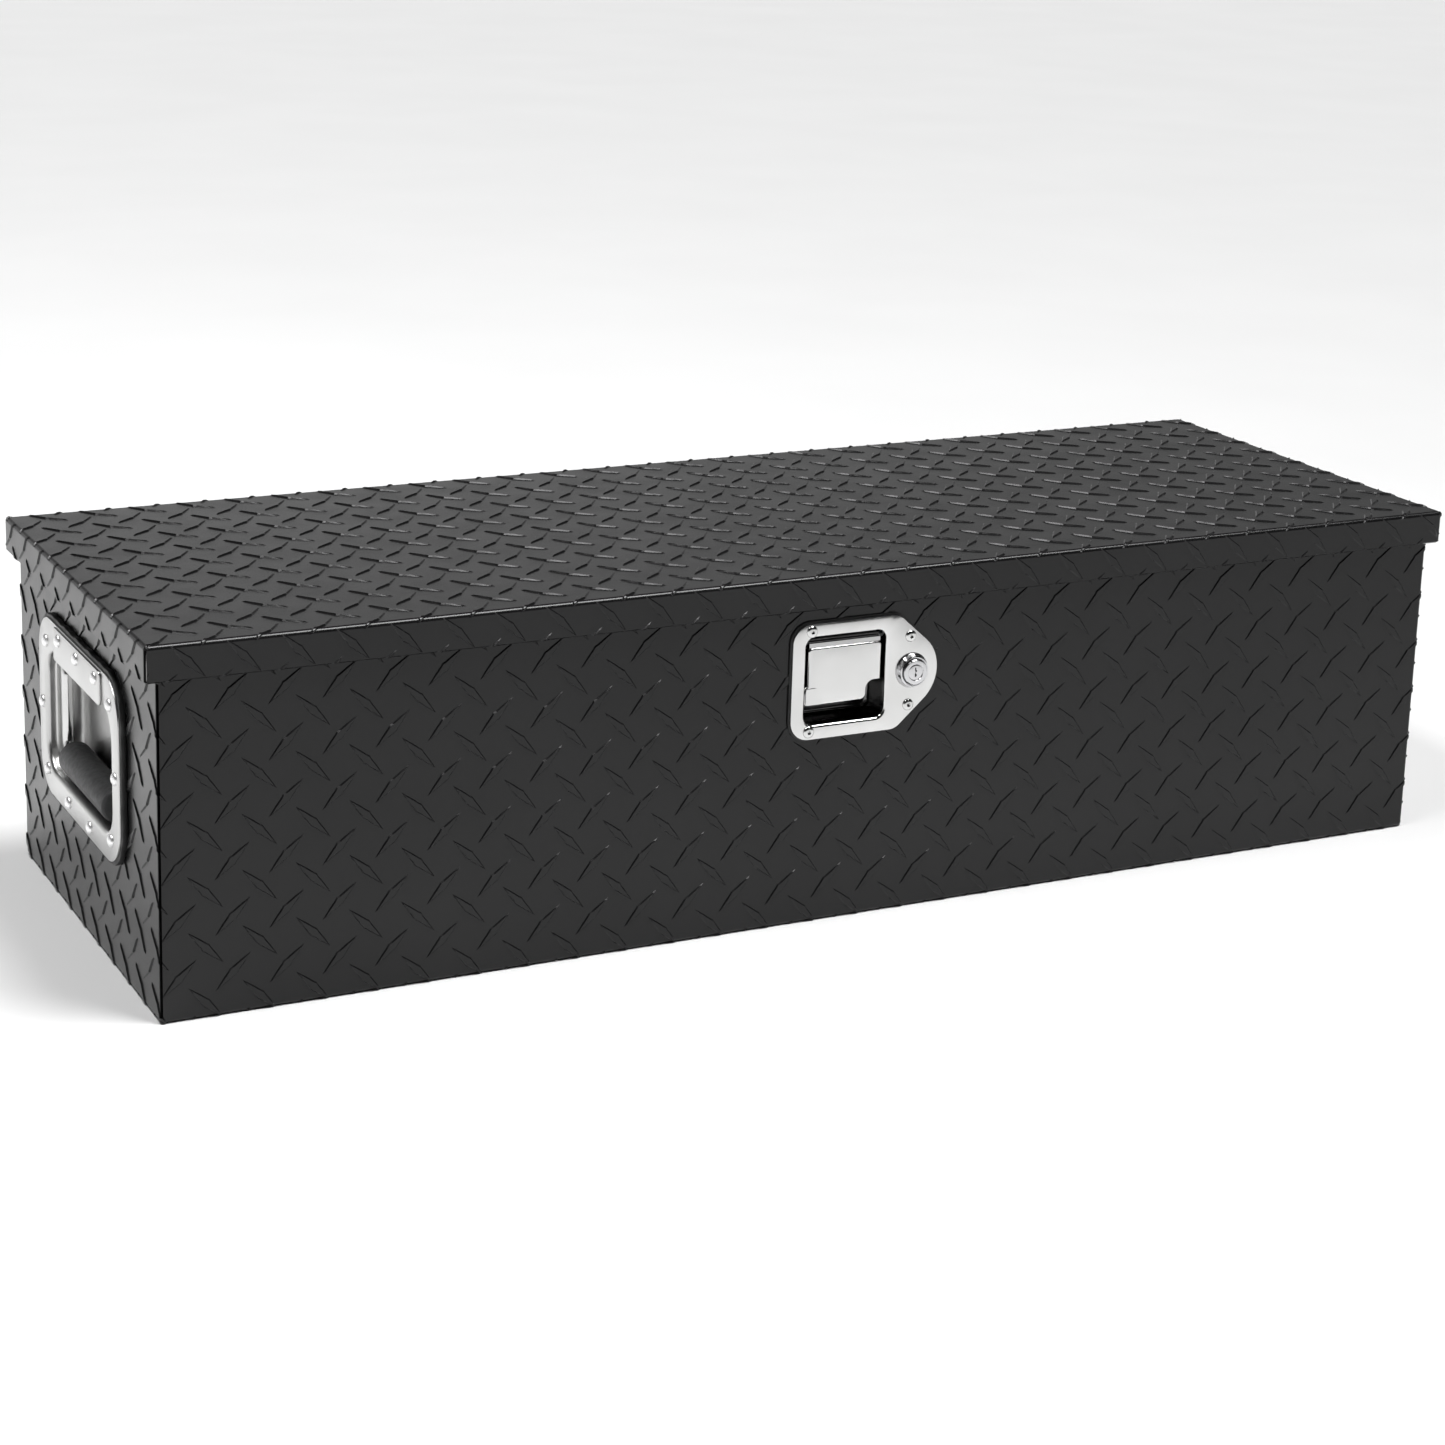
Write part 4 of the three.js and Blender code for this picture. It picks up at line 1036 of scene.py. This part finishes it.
def lock_pieces():
    """Bevelled cup and barrel, and the plug with its inner ring and keyway."""
    origin = Vector((LOCK_X, LATCH_FACE - 0.1 * MM, LATCH_Z))
    tail = (origin.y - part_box("lock_barrel")[1].y) / MM
    cup = [(9.1, tail), (9.1, 1.5), (9.2, 3.6), (9.7, 4.1), (10.3, 4.2), (10.9, 3.9), (12.0, 1.6),
           (12.4, 0.7), (12.4, 0), (10.9, 0), (10.9, tail), (9.1, tail)]
    bm = bmesh.new()
    turned(bm, in_metres(cup), origin, -AXIS_Y, 48)
    piece("lock_cup", bm, "tub", CHROME, ["lock_barrel"])

    tail = (origin.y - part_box("lock_plug")[1].y) / MM
    face = 5.9
    rings = [(5.2, face - 0.35), (5.5, face - 0.5), (5.8, face - 0.35), (6.0, face), (8.0, face),
             (8.5, face - 0.15), (8.85, face - 0.6), (8.9, face - 1.2), (8.9, 1.2), (8.8, 1.0), (6.9, 1.0),
             (6.9, tail)]
    bm = bmesh.new()
    rows = loft(bm, [[origin + Vector((x, -h, z)) for x, z in arc((0, 0), r, 0, 352.5, 47)]
                     for r, h in in_metres(rings)])
    slot = [(-0.55, 3.4), (0.35, 3.4), (0.35, 1.7), (0.95, 1.2), (0.95, 0.4), (0.1, 0), (0.1, -0.8),
            (0.9, -1.5), (0.9, -2.6), (0.3, -3.4), (-0.6, -3.4), (-0.6, -1.2), (-0.2, -0.6), (-0.2, 0.6),
            (-0.55, 1.2)]
    keyway = loft(bm, [[origin + Vector((x, -h * MM, z)) for x, z in in_metres(slot)]
                       for h in (face - 0.35, face - 3.85)])
    fill(bm, [rows[0], keyway[0]], AXIS_X, AXIS_Z)
    bm.faces.new(rows[-1])
    bm.faces.new(keyway[-1])
    piece("lock_face", bm, "lock", CHROME, ["lock_plug"])


# ---- Handles ----

DISH_LOW, DISH_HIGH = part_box("handle_dish_left")
PROUD = 1.4 * MM
HANDLE_FACE = PROUD - DISH_LOW.x
HANDLE_Z = (DISH_LOW.z + DISH_HIGH.z) / 2
HANDLE_HALF_Y = DISH_HIGH.y
HANDLE_HALF_Z = (DISH_HIGH.z - DISH_LOW.z) / 2
HANDLE_CORNER = 28 * MM
DISH_HALF_Y = 79 * MM
DISH_CENTRE_Z = HANDLE_Z - 2.5 * MM
DISH_HALF_Z = 42.5 * MM
DISH_CORNER = 20 * MM
DISH_SHEET = 1.2 * MM
DISH_DEPTH = DISH_HIGH.x - DISH_LOW.x - DISH_SHEET + PROUD
PLEATS = (6.5, 10)
STOP_SHEET = 1.6 * MM


def handle_outline(grow):
    radius = HANDLE_CORNER + grow
    return rounded_rectangle(HANDLE_HALF_Y + grow, HANDLE_HALF_Z + grow, radius, (0, HANDLE_Z), 12)


def dish_outline(grow, depth=0):
    """Outline of the dish, whose side walls step in at each pleat."""
    inset = sum(min(1, max(0, depth / MM - start)) for start in PLEATS) * 0.9 * MM
    centre = (0, DISH_CENTRE_Z)
    return rounded_rectangle(DISH_HALF_Y + grow - inset, DISH_HALF_Z + grow, DISH_CORNER + grow, centre, 10)


def rivet_places():
    """Rivet centres of one unit in y and z from the plate's middle, in mm; the last three sit on the stop."""
    plain = [(s * y, z) for s in (-1, 1) for y, z in ((77, 44.5), (77, -46.5), (88, -1.5), (26, -55))]
    return [(y, z, 0) for y, z in plain] + [(y, 54.5, 1) for y in (-49, -4.5, 39.5)]


def handle(name, sign):
    """One handle unit; sign is -1 at the left end, and the other end's is the same turned round."""

    def place(u, v, depth):
        return Vector((sign * (HANDLE_FACE - depth), -sign * u, v))

    handle_pan(name, place)
    handle_seal(name, place)
    handle_stop(name, place)
    handle_rivets(name, place)
    handle_bail(name, place)
    handle_sleeve(name, place)


def handle_pan(name, place):
    bm = bmesh.new()
    steps = [(start + part) * MM for start in PLEATS for part in (0, 0.3, 0.7, 1)]
    pressed_plate(bm, handle_outline, dish_outline, place, sheet=DISH_SHEET, edge=0.5 * MM, roll=3.2 * MM,
                  fillet=9 * MM, depth=DISH_DEPTH, steps=steps)
    piece(f"handle_pan_{name}", bm, "tub", SATIN, [f"handle_dish_{name}"])


def handle_seal(name, place):
    """Gasket behind the plate, squeezed out a little unevenly."""
    back = HANDLE_FACE - TUB_HALF_X - 0.1 * MM

    def squeezed(grow):
        made = []
        for i, (u, v) in enumerate(dense(handle_outline(grow + 2.6 * MM), 4 * MM)):
            wave = 0.7 * MM * math.sin(i * 1.3) * math.sin(i * 0.37 + 1)
            out = Vector((u, v - HANDLE_Z)).normalized()
            made.append((u + out.x * wave, v + out.y * wave))
        return made

    bm = bmesh.new()
    slab(bm, squeezed, place, DISH_SHEET + 0.1 * MM, back, 0.7 * MM, [dish_outline(PAN_ROOM)])
    piece(f"handle_seal_{name}", bm, "tub", GASKET, [f"handle_gasket_{name}"])


def handle_stop(name, place):
    """Stop plate over the top of the opening."""
    low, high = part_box(f"handle_stop_{name}")
    half_y, half_z = (high.y - low.y) / 2, (high.z - low.z) / 2
    centre = (-4 * MM, (low.z + high.z) / 2)
    bm = bmesh.new()
    slab(bm, lambda grow: rounded_rectangle(half_y + grow, half_z + grow, 3 * MM + grow, centre), place,
         -STOP_SHEET, -0.1 * MM, 0.45 * MM)
    piece(f"handle_plate_{name}", bm, "tub", SATIN, [f"handle_stop_{name}"])


def handle_rivets(name, place):
    """Eleven domed rivets and the backing ring that they hold inside the wall."""
    bm = bmesh.new()
    out = (place(0, 0, -1) - place(0, 0, 0)).normalized()
    tail = HANDLE_FACE - TUB_HALF_X + 5 * MM
    radius, height, shank = 4.4 * MM, 2.6 * MM, 2.4 * MM
    for y, z, raised in rivet_places():
        seat = STOP_SHEET * raised
        profile = [(0, -tail), (2.9 * MM, -tail), (shank, 1 * MM - tail), (shank, seat - 0.1 * MM)]
        profile += [(radius, seat - 0.1 * MM)]
        profile += [(radius * r, height * h + seat) for r, h in arc((0, 0), 1, 0, 90, 6)]
        turned(bm, profile, place(y * MM, HANDLE_Z + z * MM, 0), out, 20)
    inner = HANDLE_FACE - TUB_HALF_X + SHEET + 0.2 * MM
    slab(bm, lambda grow: handle_outline(grow - 1 * MM), place, inner, inner + 1.5 * MM, 0.3 * MM,
         [dish_outline(6 * MM)])
    piece(f"handle_rivets_{name}", bm, "tub", ALLOY, [f"handle_rivet_ring_{name}"])


def rod_path(drop):
    """Half of the bail from its pivot end to the middle of the grip, as y and z below the pivot in mm."""
    half, reach = 70, 83
    path = [(reach, 0), (half + 6, 0)] + arc((half + 6, -6), 6, 90, 180, 6)
    path += arc((half - 9, -drop + 9), 9, 0, -90, 8)
    return path + [(0, -drop)]


def rod_depth(name):
    """Depth of the rod's middle behind the face of the plate."""
    return HANDLE_FACE - abs(centre_of(f"handle_bail_{name}").x)


def handle_bail(name, place):
    """Bent rod of the handle."""
    low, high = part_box(f"handle_bail_{name}")
    depth = rod_depth(name)
    radius = 4 * MM
    pivot_z = high.z - radius
    half = rod_path((high.z - low.z - 2 * radius) / MM)
    path = [place(y * MM, pivot_z + z * MM, depth) for y, z in half + [(-y, z) for y, z in half[-2::-1]]]
    inwards = (place(0, 0, 1) - place(0, 0, 0)).normalized()
    bm = bmesh.new()
    wire(bm, path, [inwards] * len(path), radius, 16)
    piece(f"handle_rod_{name}", bm, f"handle_{name}", POLISHED, [f"handle_bail_{name}"])


def handle_sleeve(name, place):
    """Rubber sleeve with rounded ends on the bail's cross run."""
    low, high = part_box(f"handle_grip_{name}")
    outer = (high.z - low.z) / 2
    end = high.y
    bore, lip, rounding = 4.3 * MM, 6.2 * MM, 2.4 * MM
    profile = [(bore, -end), (lip, -end)] + arc((outer - rounding, -end + rounding), rounding, -90, 0, 5)
    profile += arc((outer - rounding, end - rounding), rounding, 0, 90, 5)
    profile += [(lip, end), (bore, end), (bore, -end)]
    bm = bmesh.new()
    turned(bm, profile, place(0, (low.z + high.z) / 2, rod_depth(name)), AXIS_Y, 48)
    piece(f"handle_sleeve_{name}", bm, f"handle_{name}", RUBBER, [f"handle_grip_{name}"])


# ---- Hinge, seal and gas struts ----

HINGE_AXIS = centre_of("hinge_pin")
HINGE_LOW, HINGE_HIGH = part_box("hinge_leaf_body")
HINGE_BARREL = HINGE_HIGH.y - HINGE_AXIS.y
HINGE_LENGTH = HINGE_HIGH.x - HINGE_LOW.x
HINGE_KNUCKLES = 18
LEAF_SHEET = 1.4 * MM
STRUT_LENGTH = 148 * MM


def hinge():
    """Piano hinge: two leaves and a row of rivets."""
    hinge_leaf("hinge_body_leaf", "tub", "hinge_leaf_body", 0)
    hinge_leaf("hinge_lid_leaf", "lid", "hinge_leaf_lid", 1)
    hinge_rivets()


def hinge_leaf(name, body, node, first):
    """Leaf with rounded edges and every second knuckle; the body's leaf hangs and takes the first one."""
    low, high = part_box(node)
    pitch = HINGE_LENGTH / HINGE_KNUCKLES
    upward = 1 if first else -1
    start = HINGE_AXIS.z + upward * (HINGE_BARREL + 0.5 * MM)
    end = high.z if first else low.z
    y0 = LID_HIGH.y - SHEET - 0.3 * MM - LEAF_SHEET if first else low.y
    y1 = y0 + LEAF_SHEET
    root = HINGE_AXIS.z + upward * 2 * MM
    rim, bore, barrel = 0.4 * MM, 1.9 * MM, HINGE_BARREL
    bm = bmesh.new()
    section = softened([(y0, start), (y0, end), (y1, end), (y1, start)], rim)
    extruded(bm, section, along_x, -HINGE_LENGTH / 2, HINGE_LENGTH / 2)
    for i in range(first, HINGE_KNUCKLES, 2):
        x0 = -HINGE_LENGTH / 2 + i * pitch + 0.25 * MM
        x1 = x0 + pitch - 0.5 * MM
        knuckle = [(bore, x0), (barrel - rim, x0), (barrel, x0 + rim), (barrel, x1 - rim),
                   (barrel - rim, x1), (bore, x1), (bore, x0)]
        turned(bm, knuckle, HINGE_AXIS, AXIS_X, 20)
        extruded(bm, [(y0, start), (y1, start), (y1, root), (y0, root)], along_x, x0, x1)
    piece(name, bm, body, BRUSHED, [node])


def hinge_rivets():
    """Rivet heads along the body leaf."""
    bm = bmesh.new()
    count = 12
    radius, height, shank = 3.6 * MM, 1.3 * MM, 2.2 * MM
    profile = [(shank, -6 * MM), (shank, -0.05 * MM), (radius, -0.05 * MM)]
    profile += [(radius * r, height * h) for r, h in arc((0, 0), 1, 0, 90, 5)]
    for i in range(count):
        x = ((i + 0.5) / count - 0.5) * HINGE_LENGTH
        turned(bm, profile, Vector((x, HINGE_LOW.y + LEAF_SHEET, HINGE_AXIS.z - 17 * MM)), AXIS_Y, 16)
    piece("hinge_rivets", bm, "tub", BRUSHED)


def weather_seal():
    """Sponge strip with a rounded crown, in one ring on the rim."""
    low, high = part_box("weather_seal")
    width, tall = 10 * MM, high.z - low.z
    section = [(0, 0), (0, 0.3 * tall)]
    section += [(width / 2 - width / 2 * math.cos(a), 0.45 * tall + 0.55 * tall * math.sin(a))
                for a in (math.pi * i / 10 for i in range(11))]
    section += [(width, 0.3 * tall), (width, 0)]
    loops = []
    for inset, rise in section + section[:1]:
        outline = rounded_rectangle(high.x - inset, high.y - inset, 14 * MM - inset, (0, 0), 8)
        loops.append([Vector((x, y, low.z + rise)) for x, y in outline])
    bm = bmesh.new()
    loft(bm, loops)
    piece("sponge_seal", bm, "tub", FOAM, ["weather_seal"])


def strut(name):
    """Gas strut: tube with a rolled end, rod, and an eye at each end."""
    joints = {joint["name"]: joint for joint in frame["joints"]}
    foot = Vector(joints[f"strut_{name}_swing"]["pos_m"])
    run = Vector(joints[f"strut_{name}_slide"]["axis"]).normalized()
    eye = in_metres([(4.4, -5), (7.2, -5), (8, -4), (8, 4), (7.2, 5), (4.4, 5), (4.4, -5)])
    tube = in_metres([(4.5, 20), (4.5, 131), (6.4, 131), (7.1, 130), (7.2, 127.5), (6.6, 126.5), (6.6, 125),
                      (7.5, 123.5), (7.5, 12), (6.8, 10), (5, 8.5), (4.4, 7.4)])
    bm = bmesh.new()
    turned(bm, tube, foot, run, 32)
    turned(bm, eye, foot, AXIS_X, 28)
    piece(f"gas_tube_{name}", bm, f"strut_cylinder_{name}", ENAMEL, [f"strut_cylinder_{name}"])
    rod = in_metres([(3.4, 22.6), (3.6, 23), (3.6, 138), (5, 138.4), (5, 142)])
    bm = bmesh.new()
    turned(bm, rod, foot, run, 24)
    turned(bm, eye[1:-2], foot + run * STRUT_LENGTH, AXIS_X, 28)
    piece(f"gas_rod_{name}", bm, f"strut_rod_{name}", CHROME, [f"strut_rod_{name}"])


def hook_coil():
    """Torsion spring beside the hook: two and a half turns of wire."""
    low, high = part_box("hook_spring")
    centre = (low + high) / 2
    turns, steps, radius = 2.5, 60, 0.45 * MM
    coil = (high.z - low.z) / 2 - radius
    path, across = [], []
    for i in range(steps + 1):
        angle = math.tau * turns * i / steps
        out = Vector((0, math.cos(angle), math.sin(angle)))
        x = low.x + radius + (high.x - low.x - 2 * radius) * i / steps
        path.append(Vector((x, centre.y, centre.z)) + out * coil)
        across.append(out)
    bm = bmesh.new()
    wire(bm, path, across, radius, 8)
    piece("hook_coil", bm, "tub", ZINC, ["hook_spring"])


def carried_nodes():
    carried(BLACK, "black_sheet", 0.4 * MM, "lid_stiffener_left", "lid_stiffener_right")
    carried(BRUSHED, "stainless", 0.2 * MM, "hinge_pin")
    carried(ZINC, "zinc_steel", 0.3 * MM, "striker", "latch_bracket", "latch_hook", "lock_nut", "lock_cam",
            "strut_bracket_left", "strut_bracket_right", "strut_stud_left", "strut_stud_right")
    carried(ZINC, "zinc_steel", 0.15 * MM, "hook_pin", "paddle_pin")


# ---- Studio ----

# Strength of the surround: each row goes along one axis of the direction, from start to end and low to high.
SKY_LEVELS = [("Z", 0.22, 0.38, 0.8, 0.06), ("X", 0.25, 0.65, 1, 0.35), ("Y", -0.6, -0.2, 0.1, 1)]


def studio_floor():
    made = Finish("pale_floor", (0.86, 0.86, 0.86), 0.6)
    made.colour(made.noise(3, 2), (0.85, 0.85, 0.85), (0.87, 0.87, 0.87))
    bm = bmesh.new()
    half = 30.0
    corners = ((-half, -half), (half, -half), (half, half), (-half, half))
    bm.faces.new([bm.verts.new((x, y, -0.2 * MM)) for x, y in corners])
    added("floor", mesh_of(bm, "floor", made.material))


def lamp(name, kind, energy, place, target):
    """A lamp at a place that shines towards a target."""
    data = bpy.data.lights.new(name, kind)
    data.energy = energy
    obj = added(name, data)
    obj.location = place
    obj.rotation_mode = "QUATERNION"
    obj.rotation_quaternion = (Vector(target) - Vector(place)).to_track_quat("-Z", "Y")
    return data


def sky():
    """A dim surround, bright only near the horizon behind the box and most of all at the left."""
    world = bpy.data.worlds.new("studio")
    world.use_nodes = True
    tree = world.node_tree
    background = tree.nodes["Background"].inputs
    background["Color"].default_value = (1, 1, 1, 1)
    direction = wired(tree, "TexCoord", "Generated", {})
    strength = 1.0
    for axis, *levels in SKY_LEVELS:
        part = wired(tree, "SeparateXYZ", axis, {"Vector": direction})
        strength = wired(tree, "Math", "Value", {0: strength, 1: mapped(tree, part, *levels)}, "MULTIPLY")
    tree.links.new(strength, background["Strength"])
    bpy.context.scene.world = world


def studio_light():
    """One broad sun for the floor and a softbox overhead."""
    sky()
    bpy.context.scene.view_settings.view_transform = "Standard"
    sun = lamp("sun", "SUN", 3.3, (0.35, -0.2, 0.92), (0, 0, 0))
    sun.angle = math.radians(27)
    softbox = lamp("overhead", "AREA", 36, (-0.9, 0, 2.3), (-0.45, 0, 0))
    softbox.shape = "RECTANGLE"
    softbox.size = 1.6
    softbox.size_y = 0.5


def photo_camera():
    """Camera at the photograph's viewing angle, fitted to the corners of the lid and the body."""
    data = bpy.data.cameras.new("camera")
    data.lens = 76.73
    data.sensor_width = 36
    data.shift_y = -0.15
    yaw, pitch, roll = (math.radians(a) for a in (27.10, 13.93, 1.79))
    level = Vector((math.sin(yaw), math.cos(yaw), 0))
    aside = Vector((math.cos(yaw), -math.sin(yaw), 0))
    forward = level * math.cos(pitch) - AXIS_Z * math.sin(pitch)
    above = level * math.sin(pitch) + AXIS_Z * math.cos(pitch)
    right = aside * math.cos(roll) + above * math.sin(roll)
    up = above * math.cos(roll) - aside * math.sin(roll)
    camera = added("camera", data)
    camera.matrix_world = Matrix((right, up, -forward)).transposed().to_4x4()
    camera.location = (-0.9968, -1.9089, 0.7876)
    bpy.context.scene.camera = camera


# ---- Everything ----

photo_camera()
studio_floor()
studio_light()
tub_sheets()
lid_sheet()
latch_plate()
latch_seal()
latch_rivets()
paddle_piece()
lock_pieces()
handle("left", -1)
handle("right", 1)
hinge()
weather_seal()
strut("left")
strut("right")
hook_coil()
carried_nodes()
